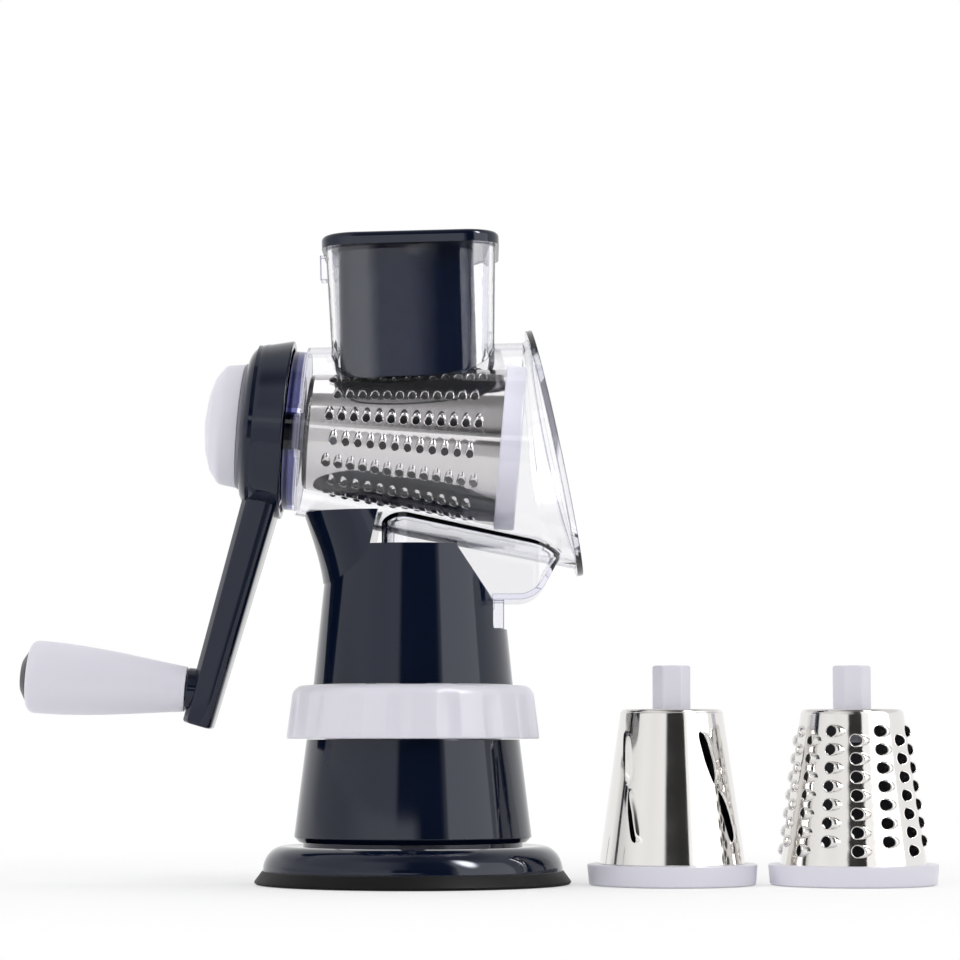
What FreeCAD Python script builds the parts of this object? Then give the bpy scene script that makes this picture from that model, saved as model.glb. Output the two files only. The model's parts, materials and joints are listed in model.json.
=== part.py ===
import FreeCAD, Part
import math
import os
from collections import namedtuple

# Hand cranked drum shredder on a suction base, in millimetres.
# Origin: centre of the suction pad's underside. +Z up, +X towards the outlet, crank at -X.

# ---- driving dimensions: suction base ------------------------------------------------------
pad_radius = 71.5
pad_seat_radius = 67.5
pad_height = 6.0
pad_edge_height = 0.9
pad_rim_inset = 2.0
pad_membrane = 3.5
pad_boss_rise = 1.0
pad_boss_margin = 3.5

foot_height = 11.2
foot_top_radius = 57.8
foot_bore_radius = 40.0
foot_wall = 3.0
foot_skirt_inset = 2.8

tower_wall = 3.0
reveal_gap = 1.6
reveal_depth = 4.0
lower_height = 46.0
lower_base_radius = 53.5
lower_top_radius = 48.1
lower_chamfer = 2.4

neck_radius = 40.0
neck_wall = 3.5
running_clearance = 0.06
ring_clearance = 0.3

# ---- driving dimensions: twist ring, plunger and spring ------------------------------------
ring_height = 23.9
ring_bottom_radius = 57.2
ring_top_radius = 54.8
ring_round = 5.5
ring_skirt = 3.2
ring_sleeve = 6.0
ring_roof = 4.0
flute_count = 16
flute_radius = 9.0
flute_depth = 1.5
flute_start_deg = 17.5

twist_range_deg = 60.0
groove_margin_deg = 6.0
plunger_lift = 5.0
plunger_foot_radius = 20.0
plunger_foot_thickness = 3.0
plunger_foot_cone = 8.0
plunger_stem_radius = 6.0
plunger_stem_play = 1.0
plunger_hub_radius = 12.0
plunger_hub_height = 9.0
pin_radius = 2.5
pin_height_above_deck = 5.4
pin_groove_depth = 3.2
pin_groove_play = 0.4
spring_wire = 1.4
spring_play = 2.5
spring_turns = 3.5

# ---- driving dimensions: upper tower -------------------------------------------------------
upper_height = 62.3
upper_base_radius = 45.1
upper_top_radius = 38.7
horn_height = 15.3
horn_root_drop = 16.7
horn_reach = 12.6
horn_root_reach = 0.4
horn_inset = 3.5
horn_curve = 1.2
horn_right_at_top = -15.2
horn_right_at_deck = -18.6
slope_start_x = 19.4
slope_end_x = 35.8
shelf_drop = 24.7
hook_inset = 0.6
hook_width = 24.0
hook_thickness = 4.6
hook_length = 12.4
hook_nose = 2.4
hook_play = 0.3

# ---- driving dimensions: drums -------------------------------------------------------------
drum_ring_radius = 38.1
drum_ring_height = 9.3
drum_ring_draft = 0.8
drum_ring_web = 3.0
drum_ring_round = 1.2
drum_seat = 3.0
drum_sheet = 0.8
hub_circle_radius = 8.5
hub_corner_radius = 8.8
hub_bore_play = 0.2
hub_tip_round = 0.8
hub_flange_radius = 20.0
hub_flange_thickness = 3.0
hub_core_wall = 3.0
hub_core_length = 14.0

fine_length = 88.2
fine_large_radius = 36.0
fine_small_radius = 26.0
fine_rows = 16
fine_pitch = 5.57
fine_hole_radius = 1.7
fine_margin = 10.5
fine_start_deg = 14.0

spare_length = 69.0
spare_large_radius = 32.7
spare_small_radius = 22.8
spare_hub_length = 20.0
spare_y = -8.0
spare_clearance = 6.7
spare_spacing = 4.9
coarse_rows = 14
coarse_pitch = 8.1
coarse_hole_radius = 2.9
coarse_margin = 6.5
coarse_start_deg = 9.9
slot_rows = 4
slot_start_deg = 41.3
slot_stagger_deg = 7.6
slot_spacing = 25.4
slot_length = 23.0
slot_width = 4.2
slot_slant_deg = 12.8

# ---- driving dimensions: drum axis and clear housing ---------------------------------------
axis_height = 200.2
axis_dip_deg = 4.8
drum_face_distance = 48.9
drum_end_gap = 2.2
clear_wall = 2.4
chamber_small_radius = 38.3
chamber_large_radius = 49.1
chamber_length = 102.0
end_wall_inset = 2.1
end_wall_outside = 5.8
mouth_beyond_drum = 16.3
mouth_lean_deg = 12.0
mouth_radius = 54.3
mouth_flare_deg = 24.0
mouth_flare_depth = 38.0
mouth_lip_overhang = 2.7
mouth_lip_thickness = 2.6

hopper_rise = 85.2
hopper_pivot_rise = 42.8
hopper_tilt_deg = 1.5
hopper_half_x = 38.2
hopper_half_y = 37.8
hopper_corner = 14.0
hopper_crown_radius = 150.0
hopper_draft = 0.035
hopper_foot_depth = 78.0
lug_width = 12.0
lug_height = 11.0
lug_depth = 3.4

bracket_half_width = 27.0
bracket_back_x = -14.0
bracket_front_x = 66.0
bracket_corner = 13.0
bracket_toe_x = 47.3
chin_radius = 14.0
chin_angle_deg = 61.5

# ---- driving dimensions: pusher ------------------------------------------------------------
pusher_rise = 26.3
pusher_left_play = 0.9
pusher_right_play = 5.3
pusher_side_play = 2.2
pusher_corner = 9.0
pusher_crown_radius = 150.0
pusher_wall = 2.4
pusher_drum_gap = 6.5
cap_overhang = 1.65
cap_thickness = 5.6
cap_round = 2.2
cap_plug_depth = 4.0

# ---- driving dimensions: crank -------------------------------------------------------------
head_gap = 0.7
head_depth = 19.7
head_radius = 40.8
head_draft = 2.4
head_round = 9.5
head_wall = 3.2
head_boss_radius = 15.0
socket_play = 0.15
socket_depth = 8.0
socket_end_gap = 2.1
crank_radius = 121.0
arm_top_back = 8.3
arm_top_down = 29.8
arm_splay = 20.5
arm_foot_beyond = 15.9
arm_top_thickness = 16.0
arm_foot_thickness = 13.6
arm_top_width = 40.0
arm_foot_width = 25.0
arm_corner = 3.0
arm_bevel = 4.5
arm_boss_radius = 9.8
arm_boss_proud = 6.2

grip_length = 72.0
grip_gap = 0.6
grip_small_radius = 10.2
grip_large_radius = 16.4
grip_belly = 0.9
grip_bore_play = 0.1
grip_rim = 2.0
grip_rim_round = 0.6
grip_cap_recess = 3.0
grip_cap_crown = 2.6
grip_cap_bulge = 0.8
axle_radius = 4.2
axle_seat = 14.0
axle_head_radius = 7.0
axle_head_thickness = 2.4
axle_head_play = 0.6

knob_radius = 28.2
knob_draft = 1.2
knob_side = 8.7
knob_height = 17.0
knob_shoulder = 6.8
knob_shoulder_rise = 4.0
knob_shoulder_bulge = 1.15
knob_dome_bulge = 0.8
knob_gap = 0.2
knob_stem_radius = 4.0
knob_stem_reach = 22.0
bezel_lip = 0.5
bezel_thickness = 1.3

# ---- driving dimensions: screws ------------------------------------------------------------
screw_radius = 1.5
screw_head_radius = 3.2
screw_head_height = 2.2
screw_length = 14.0
screw_tip_gap = 1.0
screw_boss_end = 2.0
screw_boss_radius = 4.2
screw_count = 4
screw_start_deg = 45.0
tower_screw_circle = 27.0

# ---- sizes of cutters and of small flats that no fit depends on ------------------------------
overshoot = 1.0
dome_flat = 1.5

# ---- levels that follow, from the surface up -------------------------------------------------
pad_boss_height = pad_membrane + pad_boss_rise
foot_top = pad_height + foot_height
lower_base = foot_top + reveal_gap
lower_top = lower_base + lower_height
ring_base = lower_top + ring_clearance
ring_top = ring_base + ring_height
upper_base = ring_top + ring_clearance
neck_plate = upper_base - neck_wall
flat_top = upper_base + upper_height
horn_top = flat_top + horn_height
shelf_height = flat_top - shelf_drop
hook_tip = shelf_height - hook_length
pin_height = lower_top + pin_height_above_deck
hopper_top = axis_height + hopper_rise
hopper_foot = hopper_top - hopper_foot_depth
hopper_pivot = axis_height + hopper_pivot_rise
pusher_bottom = axis_height + pusher_rise

# ---- radii and half widths that follow -------------------------------------------------------
foot_skirt_radius = foot_top_radius - foot_skirt_inset
pad_rim_inner_radius = foot_skirt_radius - foot_wall - pad_rim_inset
reveal_radius = lower_base_radius - reveal_depth
foot_screw_circle = (foot_bore_radius + foot_skirt_radius - foot_wall) / 2
spring_radius = plunger_stem_radius + spring_play + spring_wire / 2
hub_bore_radius = knob_stem_radius + hub_bore_play
grip_bore_radius = axle_radius + grip_bore_play
grip_cap_radius = grip_large_radius - grip_rim
bezel_radius = knob_radius + bezel_lip
hook_root = slope_end_x + hook_inset
end_wall_radius = chamber_small_radius - end_wall_inset
mouth_lip_radius = mouth_radius + mouth_lip_overhang
pusher_inset = clear_wall + (hopper_top - pusher_bottom) * hopper_draft
pusher_left = pusher_inset + pusher_left_play - hopper_half_x
pusher_right = hopper_half_x - pusher_inset - pusher_right_play
pusher_half_x = (pusher_right - pusher_left) / 2
pusher_half_y = hopper_half_y - pusher_inset - pusher_side_play
pusher_offset_x = (pusher_right + pusher_left) / 2

# ---- distances along the drum axis that follow, from the outlet to the crank -----------------
mouth_distance = drum_face_distance + mouth_beyond_drum
drum_end = drum_face_distance - drum_ring_height - fine_length
chamber_start = drum_end - drum_end_gap
end_wall_face = chamber_start - end_wall_outside
head_inner = end_wall_face - head_gap
head_outer = head_inner - head_depth
socket_end = head_inner - socket_depth
fine_hub_length = drum_end - socket_end - socket_end_gap
knob_face = head_outer - bezel_thickness - knob_gap
arm_top_distance = head_inner - arm_top_back
arm_foot_distance = arm_top_distance - arm_splay
arm_boss_end = arm_foot_distance - arm_boss_proud
grip_start = arm_boss_end - grip_gap
grip_end = grip_start - grip_length

# ---- slopes and places of the spare drums ----------------------------------------------------
tower_slope = (upper_base_radius - upper_top_radius) / upper_height
chamber_slope = (chamber_large_radius - chamber_small_radius) / chamber_length
slicer_x = pad_radius + spare_clearance + drum_ring_radius
coarse_x = slicer_x + 2 * drum_ring_radius + spare_spacing

Drum = namedtuple("Drum", "length large_radius small_radius hub_length")
fine = Drum(fine_length, fine_large_radius, fine_small_radius, fine_hub_length)
spare = Drum(spare_length, spare_large_radius, spare_small_radius, spare_hub_length)

UP = FreeCAD.Vector(0, 0, 1)
SIDE = FreeCAD.Vector(0, 1, 0)


def vec(x, y, z):
    return FreeCAD.Vector(x, y, z)


# ---- frames --------------------------------------------------------------------------------
def in_frame(shape, origin, turn_deg):
    """Carry a shape, with its own placement, into a frame turned about Y at an origin."""
    frame = FreeCAD.Placement(origin, FreeCAD.Rotation(SIDE, turn_deg))
    placed = shape.copy()
    placed.Placement = frame.multiply(placed.Placement)
    return placed


def on_axis(shape):
    """Place a shape made about Z: its +Z along the drum axis to the outlet, its +X down."""
    return in_frame(shape, vec(0, 0, axis_height), 90 + axis_dip_deg)


def axis_point(distance):
    """World point at a distance along the drum axis."""
    dip = math.radians(axis_dip_deg)
    return vec(distance * math.cos(dip), 0, axis_height - distance * math.sin(dip))


def in_mouth(shape):
    """Place a shape made about Z: its +Z square out of the mouth's rim plane."""
    return in_frame(shape, axis_point(mouth_distance), 90 - mouth_lean_deg)


def in_hopper(shape):
    """Lean an upright shape with the hopper, about the hopper's foot."""
    placed = shape.copy()
    placed.rotate(vec(0, 0, hopper_pivot), SIDE, -hopper_tilt_deg)
    return placed


# ---- shape helpers -------------------------------------------------------------------------
def outline(steps, to_point):
    """Closed wire: a step is a corner (a, b) or an arc ((mid a, mid b), (end a, end b))."""
    corners = [step if not isinstance(step[0], tuple) else step[1] for step in steps]
    edges = []
    for index, step in enumerate(steps):
        start = to_point(*corners[index - 1])
        end = to_point(*corners[index])
        if isinstance(step[0], tuple):
            edges.append(Part.Arc(start, to_point(*step[0]), end).toShape())
        else:
            edges.append(Part.makeLine(start, end))
    return Part.Wire(edges)


def bulged(start, end, bulge):
    """Arc step between two points of an outline, bulging away from the axis."""
    run, rise = end[0] - start[0], end[1] - start[1]
    reach = bulge / math.hypot(run, rise)
    return (((start[0] + end[0]) / 2 - rise * reach, (start[1] + end[1]) / 2 + run * reach), end)


def turned(steps):
    """Solid of revolution about Z from an outline of (radius, height) steps."""
    wire = outline(steps, lambda r, z: vec(r, 0, z))
    return Part.Face(wire).revolve(vec(0, 0, 0), UP, 360)


def side_plate(steps, half_width):
    """Outline of (x, z) steps, extruded evenly to both sides of Y = 0."""
    wire = outline(steps, lambda x, z: vec(x, -half_width, z))
    return Part.Face(wire).extrude(vec(0, 2 * half_width, 0))


def rounded_rectangle(half_x, half_y, corner, z, centre_x=0.0):
    """Closed wire of a rounded rectangle in the plane of height z."""
    nip = corner * (1 - math.sqrt(0.5))
    left, right = -half_x, half_x
    steps = [
        (right - corner, -half_y),
        ((right - nip, -half_y + nip), (right, -half_y + corner)),
        (right, half_y - corner),
        ((right - nip, half_y - nip), (right - corner, half_y)),
        (left + corner, half_y),
        ((left + nip, half_y - nip), (left, half_y - corner)),
        (left, -half_y + corner),
        ((left + nip, -half_y + nip), (left + corner, -half_y)),
    ]
    return outline(steps, lambda x, y: vec(centre_x + x, y, z))


def crowned_rectangle(half_x, half_y, corner, crown_radius, z, centre_x=0.0):
    """Rounded rectangle whose sides along X bulge evenly, with no crease at its corners."""
    side = half_x - corner
    reach = crown_radius - corner
    rise = math.sqrt(reach ** 2 - side ** 2)
    corner_y = half_y - crown_radius + rise
    touch_x = side * crown_radius / reach
    touch_y = corner_y + rise * corner / reach
    half_turn = math.atan2(rise, side) / 2
    mid_x = side + corner * math.cos(half_turn)
    mid_y = corner_y + corner * math.sin(half_turn)
    steps = [
        ((0, -half_y), (touch_x, -touch_y)),
        ((mid_x, -mid_y), (half_x, -corner_y)),
        (half_x, corner_y),
        ((mid_x, mid_y), (touch_x, touch_y)),
        ((0, half_y), (-touch_x, touch_y)),
        ((-mid_x, mid_y), (-half_x, corner_y)),
        (-half_x, -corner_y),
        ((-mid_x, -mid_y), (-touch_x, -touch_y)),
    ]
    return outline(steps, lambda x, y: vec(centre_x + x, y, z))


def rounded_block(half_x, half_y, corner, low, high, centre_x=0.0):
    wire = rounded_rectangle(half_x, half_y, corner, low, centre_x)
    return Part.Face(wire).extrude(vec(0, 0, high - low))


def disc(radius, low, high, x=0.0):
    return Part.makeCylinder(radius, high - low, vec(x, 0, low))


def tube(outer, inner, low, high):
    return disc(outer, low, high).cut(disc(inner, low - overshoot, high + overshoot))


def frustum(low_radius, high_radius, low, high):
    if abs(low_radius - high_radius) < 1e-9:
        return disc(low_radius, low, high)
    return Part.makeCone(low_radius, high_radius, high - low, vec(0, 0, low))


def box(x0, x1, y0, y1, z0, z1):
    return Part.makeBox(x1 - x0, y1 - y0, z1 - z0, vec(x0, y0, z0))


def hexagon(corner_radius, low, high):
    corners = []
    for index in range(7):
        angle = math.radians(60 * index)
        corners.append(vec(corner_radius * math.cos(angle), corner_radius * math.sin(angle), low))
    return Part.Face(Part.makePolygon(corners)).extrude(vec(0, 0, high - low))


def ring_of(shape, count, start_deg=0.0):
    """Copies of a shape, turned evenly about Z."""
    copies = []
    for index in range(count):
        copy = shape.copy()
        copy.rotate(vec(0, 0, 0), UP, start_deg + 360.0 * index / count)
        copies.append(copy)
    return copies


def at_screws(shape):
    return ring_of(shape, screw_count, screw_start_deg)


def cut_all(shape, cutters):
    return shape.cut(Part.makeCompound(cutters))


def fuse_all(shapes):
    return shapes[0].multiFuse(shapes[1:]).removeSplitter()


# ---- suction base --------------------------------------------------------------------------
def suction_pad():
    boss_radius = plunger_foot_radius + pad_boss_margin
    return turned([
        (0, 0),
        (pad_radius - pad_edge_height, 0),
        (pad_radius, pad_edge_height),
        (pad_seat_radius, pad_height),
        (pad_rim_inner_radius, pad_height),
        (pad_rim_inner_radius - (pad_height - pad_membrane), pad_membrane),
        (boss_radius + pad_boss_rise, pad_membrane),
        (boss_radius, pad_boss_height),
        (0, pad_boss_height),
    ])


def foot_ring():
    outer_mid_r = foot_top_radius + (pad_seat_radius - foot_top_radius) * math.sqrt(0.5)
    outer_mid_z = pad_height + foot_height * math.sqrt(0.5)
    lip = pad_seat_radius - foot_wall
    web = foot_top - foot_wall
    inner_mid_r = foot_top_radius + (lip - foot_top_radius) * math.sqrt(0.5)
    inner_mid_z = pad_height + (web - pad_height) * math.sqrt(0.5)
    shell = turned([
        (foot_bore_radius, foot_top),
        (foot_bore_radius, web),
        (foot_skirt_radius - foot_wall, web),
        (foot_skirt_radius - foot_wall, pad_height),
        (foot_skirt_radius, pad_height),
        (foot_skirt_radius, web),
        (foot_top_radius, web),
        ((inner_mid_r, inner_mid_z), (lip, pad_height)),
        (pad_seat_radius, pad_height),
        ((outer_mid_r, outer_mid_z), (foot_top_radius, foot_top)),
    ])
    hole = disc(screw_radius, web - overshoot, foot_top + overshoot, x=foot_screw_circle)
    return cut_all(shell, at_screws(hole))


def neck_slot():
    """Upright slots through the neck's wall, in which the cam pin rises and falls."""
    half = pin_radius + running_clearance
    reach = neck_radius + overshoot
    low = pin_height - half
    high = pin_height + plunger_lift + half
    return box(-half, half, -reach, reach, low, high)


def lower_tower():
    deck = lower_top - tower_wall
    inner_base = lower_base_radius - tower_wall
    inner_top = lower_top_radius - tower_wall
    body = turned([
        (reveal_radius - tower_wall, foot_top),
        (reveal_radius, foot_top),
        (reveal_radius, lower_base),
        (lower_base_radius - lower_chamfer, lower_base),
        (lower_base_radius, lower_base + lower_chamfer),
        (lower_top_radius, lower_top),
        (neck_radius, lower_top),
        (neck_radius, upper_base),
        (0, upper_base),
        (0, neck_plate),
        (neck_radius - neck_wall, neck_plate),
        (neck_radius - neck_wall, deck),
        (inner_top, deck),
        (inner_base, lower_base + lower_chamfer),
        (reveal_radius - tower_wall, lower_base),
    ])
    tip = foot_top - foot_wall + screw_length + screw_tip_gap
    boss = disc(screw_boss_radius, foot_top, tip + screw_boss_end, x=foot_screw_circle)
    shell_limit = frustum(lower_base_radius - tower_wall / 2, lower_top_radius - tower_wall / 2,
                          foot_top, lower_top)
    bosses = [copy.common(shell_limit) for copy in at_screws(boss)]
    body = fuse_all([body] + bosses)
    pilot = disc(screw_radius, foot_top - overshoot, tip, x=foot_screw_circle)
    plate_hole = disc(screw_radius, neck_plate - overshoot, upper_base + overshoot,
                      x=tower_screw_circle)
    stem_hole = disc(plunger_stem_radius + running_clearance, neck_plate - overshoot,
                     upper_base + overshoot)
    cutters = at_screws(pilot) + at_screws(plate_hole) + [stem_hole, neck_slot()]
    return cut_all(body, cutters)


def cam_groove(start_deg):
    """Helical groove in the twist ring's sleeve that lifts the pin as the ring turns."""
    span = twist_range_deg + 2 * groove_margin_deg
    rise = plunger_lift * span / twist_range_deg
    half = pin_radius + pin_groove_play
    inner = neck_radius - overshoot
    outer = neck_radius + pin_groove_depth + pin_groove_play
    path = Part.makeHelix(rise * 360.0 / span, rise, (inner + outer) / 2, 0, True)
    corners = [vec(inner, 0, -half), vec(outer, 0, -half), vec(outer, 0, half),
               vec(inner, 0, half), vec(inner, 0, -half)]
    profile = Part.makePolygon(corners)
    groove = Part.Wire(path).makePipeShell([profile], True, True)
    margin_rise = plunger_lift * groove_margin_deg / twist_range_deg
    groove.translate(vec(0, 0, pin_height - margin_rise))
    groove.rotate(vec(0, 0, 0), UP, start_deg + groove_margin_deg)
    return groove


def twist_ring():
    bore = neck_radius + running_clearance
    sleeve = neck_radius + ring_sleeve
    roof = ring_top - ring_roof
    skirt_low = ring_bottom_radius - ring_skirt
    skirt_high = ring_top_radius - ring_skirt
    nip = ring_round * (1 - math.sqrt(0.5))
    body = turned([
        (bore, ring_base),
        (sleeve, ring_base),
        (sleeve, roof),
        (skirt_high, roof),
        (skirt_low, ring_base),
        (ring_bottom_radius, ring_base),
        (ring_top_radius, ring_top - ring_round),
        ((ring_top_radius - nip, ring_top - nip), (ring_top_radius - ring_round, ring_top)),
        (bore, ring_top),
    ])
    flute_centre = ring_bottom_radius + flute_radius - flute_depth
    lean = math.degrees(math.atan2(ring_bottom_radius - ring_top_radius, ring_height))
    flute = disc(flute_radius, ring_base - ring_round, ring_top + ring_round, x=flute_centre)
    flute.rotate(vec(flute_centre, 0, ring_base), SIDE, -lean)
    cutters = ring_of(flute, flute_count, flute_start_deg)
    return cut_all(body, cutters + [cam_groove(90), cam_groove(270)])


def plunger():
    foot_base = pad_boss_height
    foot_high = foot_base + plunger_foot_thickness
    hub_low = pin_height - plunger_hub_height / 2
    hub_high = pin_height + plunger_hub_height / 2
    body = fuse_all([
        disc(plunger_foot_radius, foot_base, foot_high),
        frustum(plunger_hub_radius, plunger_stem_radius, foot_high, foot_high + plunger_foot_cone),
        disc(plunger_stem_radius, foot_base, upper_base - ring_clearance),
        disc(plunger_hub_radius, hub_low, hub_high),
    ])
    cross = Part.makeCylinder(pin_radius, 4 * plunger_hub_radius,
                              vec(0, -2 * plunger_hub_radius, pin_height), SIDE)
    return body.cut(cross)


def cam_pin():
    reach = neck_radius + pin_groove_depth
    return Part.makeCylinder(pin_radius, 2 * reach, vec(0, -reach, pin_height), SIDE)


def return_spring():
    low = pin_height + plunger_hub_height / 2
    height = neck_plate - low - spring_wire
    path = Part.makeHelix(height / spring_turns, height, spring_radius)
    path.translate(vec(0, 0, low + spring_wire / 2))
    start = vec(spring_radius, 0, low + spring_wire / 2)
    loop = Part.Wire(Part.makeCircle(spring_wire / 2, start, SIDE))
    return Part.Wire(path).makePipeShell([loop], True, True)


# ---- upper tower ---------------------------------------------------------------------------
def tower_radius_at(z):
    return upper_base_radius - (z - upper_base) * tower_slope


HORN_STATIONS = (0.0, 0.25, 0.6, 1.0)


def horn():
    """Skewed horn that leans out under the chamber: circles stacked and lofted."""
    low = flat_top - horn_root_drop
    wires = []
    for share in HORN_STATIONS:
        z = low + share * (horn_top - low)
        reach = horn_root_reach + (horn_reach - horn_root_reach) * share ** horn_curve
        radius = tower_radius_at(z) - horn_inset
        wires.append(Part.Wire(Part.makeCircle(radius, vec(-reach - horn_inset, 0, z), UP)))
    loft = Part.makeLoft(wires, True, False)
    far = -2 * upper_base_radius
    keep = side_plate([
        (far, low), (horn_right_at_deck, low), (horn_right_at_deck, flat_top),
        (horn_right_at_top, horn_top), (far, horn_top),
    ], upper_base_radius)
    return loft.common(keep)


def chamber_cone(shrink, start, end):
    """Cone of the drum chamber, shrunk by a wall, between two distances along the axis."""
    low = chamber_small_radius + (start - chamber_start) * chamber_slope - shrink
    high = chamber_small_radius + (end - chamber_start) * chamber_slope - shrink
    return on_axis(frustum(low, high, start, end))


def upper_tower():
    cone = frustum(upper_base_radius, upper_top_radius, upper_base, flat_top)
    outer = fuse_all([cone, horn()])
    big = 2 * upper_base_radius
    corner_cut = side_plate([
        (slope_start_x, flat_top), (slope_end_x, shelf_height), (big, shelf_height),
        (big, flat_top + big), (slope_start_x, flat_top + big),
    ], big)
    floor = upper_base + tower_wall
    roof = flat_top - tower_wall
    inner = frustum(tower_radius_at(floor) - tower_wall, tower_radius_at(roof) - tower_wall,
                    floor, roof)
    room = side_plate([
        (-big, floor), (-big, roof), (slope_start_x - tower_wall, roof),
        (slope_end_x - tower_wall, shelf_height), (slope_end_x - tower_wall, shelf_height - tower_wall),
        (big, shelf_height - tower_wall), (big, floor),
    ], big)
    hook_room = box(hook_root - hook_play, big, -big, big, hook_tip - hook_play,
                    shelf_height + overshoot)
    tip = neck_plate + screw_length + screw_tip_gap
    boss = disc(screw_boss_radius, floor, tip + screw_boss_end, x=tower_screw_circle)
    pilot = disc(screw_radius, upper_base - overshoot, tip, x=tower_screw_circle)
    stem_hole = disc(plunger_stem_radius + plunger_stem_play, upper_base - overshoot,
                     floor + overshoot)
    shell = outer.cut(corner_cut).cut(inner.common(room))
    shell = fuse_all([shell] + at_screws(boss))
    shell = cut_all(shell, at_screws(pilot) + [stem_hole, hook_room])
    return shell.cut(chamber_cone(0, 2 * chamber_start, mouth_distance))


def screws(circle, head_base):
    """Pan head screws on a circle, heads below their base, shanks up."""
    head = disc(screw_head_radius, head_base - screw_head_height, head_base, x=circle)
    shank = disc(screw_radius, head_base, head_base + screw_length, x=circle)
    return Part.makeCompound(at_screws(head.fuse(shank).removeSplitter()))


# ---- clear housing -------------------------------------------------------------------------
def hopper_loft(shrink, low, high):
    wires = []
    for z in (low, high):
        inset = (hopper_top - z) * hopper_draft + shrink
        wires.append(crowned_rectangle(hopper_half_x - inset, hopper_half_y - inset,
                                       hopper_corner - shrink, hopper_crown_radius - shrink, z))
    return in_hopper(Part.makeLoft(wires, True, True))


def mouth_frustum(shrink, back, front):
    flare = math.tan(math.radians(mouth_flare_deg))
    return in_mouth(frustum(mouth_radius - shrink + back * flare,
                            mouth_radius - shrink + front * flare, back, front))


def chin(offset):
    """Bracket's underside from its toe: an arc up from the shelf, then straight to the front."""
    angle = math.radians(chin_angle_deg)
    radius = chin_radius - offset
    front = bracket_front_x - offset
    middle = (bracket_toe_x + radius * math.sin(angle / 2),
              shelf_height + chin_radius - radius * math.cos(angle / 2))
    end = (bracket_toe_x + radius * math.sin(angle),
           shelf_height + chin_radius - radius * math.cos(angle))
    front_height = end[1] + (front - end[0]) * math.tan(angle)
    return [(bracket_toe_x, shelf_height + offset), (middle, end), (front, front_height)]


def bracket():
    """Foot of the housing: a skirt that stands on the tower's flat top and slope."""
    wall = clear_wall
    top = axis_height - chamber_small_radius / 2
    below = shelf_height - chin_radius
    outer = side_plate([
        (bracket_back_x, top), (bracket_back_x, flat_top), (slope_start_x, flat_top),
        (slope_end_x, shelf_height),
    ] + chin(0) + [(bracket_front_x, top)], bracket_half_width)
    inner = side_plate([
        (bracket_back_x + wall, top), (bracket_back_x + wall, below),
        (slope_end_x, below), (slope_end_x, shelf_height + wall),
    ] + chin(wall) + [(bracket_front_x - wall, top)], bracket_half_width)
    middle = (bracket_back_x + bracket_front_x) / 2
    half = (bracket_front_x - bracket_back_x) / 2
    plan = rounded_block(half, bracket_half_width, bracket_corner, below, top, middle)
    inner_plan = rounded_block(half - wall, bracket_half_width - wall, bracket_corner - wall,
                               below - overshoot, top, middle)
    return outer.common(plan).cut(inner.common(inner_plan))


def snap_hook():
    """Tongue that drops past the tower's step, with a nose that catches below its wall."""
    half = hook_width / 2
    tongue = box(hook_root, hook_root + hook_thickness, -half, half, hook_tip,
                 shelf_height + clear_wall)
    nose_top = shelf_height - tower_wall - hook_play
    nose = side_plate([
        (hook_root, nose_top), (hook_root - hook_nose, nose_top), (hook_root, hook_tip),
    ], half)
    return tongue.fuse(nose)


def clear_housing():
    beyond = mouth_distance + mouth_radius
    beyond_rim = in_mouth(disc(3 * mouth_radius, 0, beyond))
    chamber = chamber_cone(0, chamber_start, beyond).cut(beyond_rim)
    lip = in_mouth(disc(mouth_lip_radius, -mouth_lip_thickness, 0))
    end_wall = on_axis(disc(end_wall_radius, end_wall_face, chamber_start + overshoot))
    chamber_room = chamber_cone(clear_wall, chamber_start, beyond)
    mouth_room = mouth_frustum(clear_wall, -mouth_flare_depth, mouth_lip_thickness)
    hopper_room = hopper_loft(clear_wall, hopper_foot, hopper_top + overshoot)
    outer = fuse_all([chamber, mouth_frustum(0, -mouth_flare_depth, 0), lip,
                      hopper_loft(0, hopper_foot, hopper_top)])
    shell = outer.cut(fuse_all([chamber_room, mouth_room, hopper_room]))
    foot = bracket().cut(chamber_cone(clear_wall / 2, chamber_start, beyond))
    foot = foot.cut(mouth_frustum(clear_wall / 2, -mouth_flare_depth, mouth_lip_thickness))
    lug = in_hopper(box(-hopper_half_x - lug_depth, -hopper_half_x + overshoot,
                        -lug_width / 2, lug_width / 2, hopper_top - lug_height, hopper_top))
    housing = fuse_all([shell, end_wall, foot, snap_hook(), lug])
    bore = on_axis(disc(hub_circle_radius + running_clearance, end_wall_face - overshoot,
                        chamber_start + 2 * overshoot))
    return housing.cut(bore)


# ---- food pusher ---------------------------------------------------------------------------
def pusher_block(shrink, low, high):
    wire = crowned_rectangle(pusher_half_x - shrink, pusher_half_y - shrink,
                             pusher_corner - shrink, pusher_crown_radius - shrink, low,
                             pusher_offset_x)
    return Part.Face(wire).extrude(vec(0, 0, high - low))


def drum_envelope(gap):
    """Cone around the fitted drum, grown by a gap."""
    end = drum_face_distance - drum_ring_height
    return on_axis(frustum(fine.small_radius + gap, fine.large_radius + gap, drum_end, end))


def pusher_body():
    shell = pusher_block(0, pusher_bottom, hopper_top)
    shell = shell.cut(drum_envelope(pusher_drum_gap))
    room = pusher_block(pusher_wall, pusher_bottom + pusher_wall, hopper_top + overshoot)
    room = room.cut(drum_envelope(pusher_drum_gap + pusher_wall))
    return in_hopper(shell.cut(room))


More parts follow.
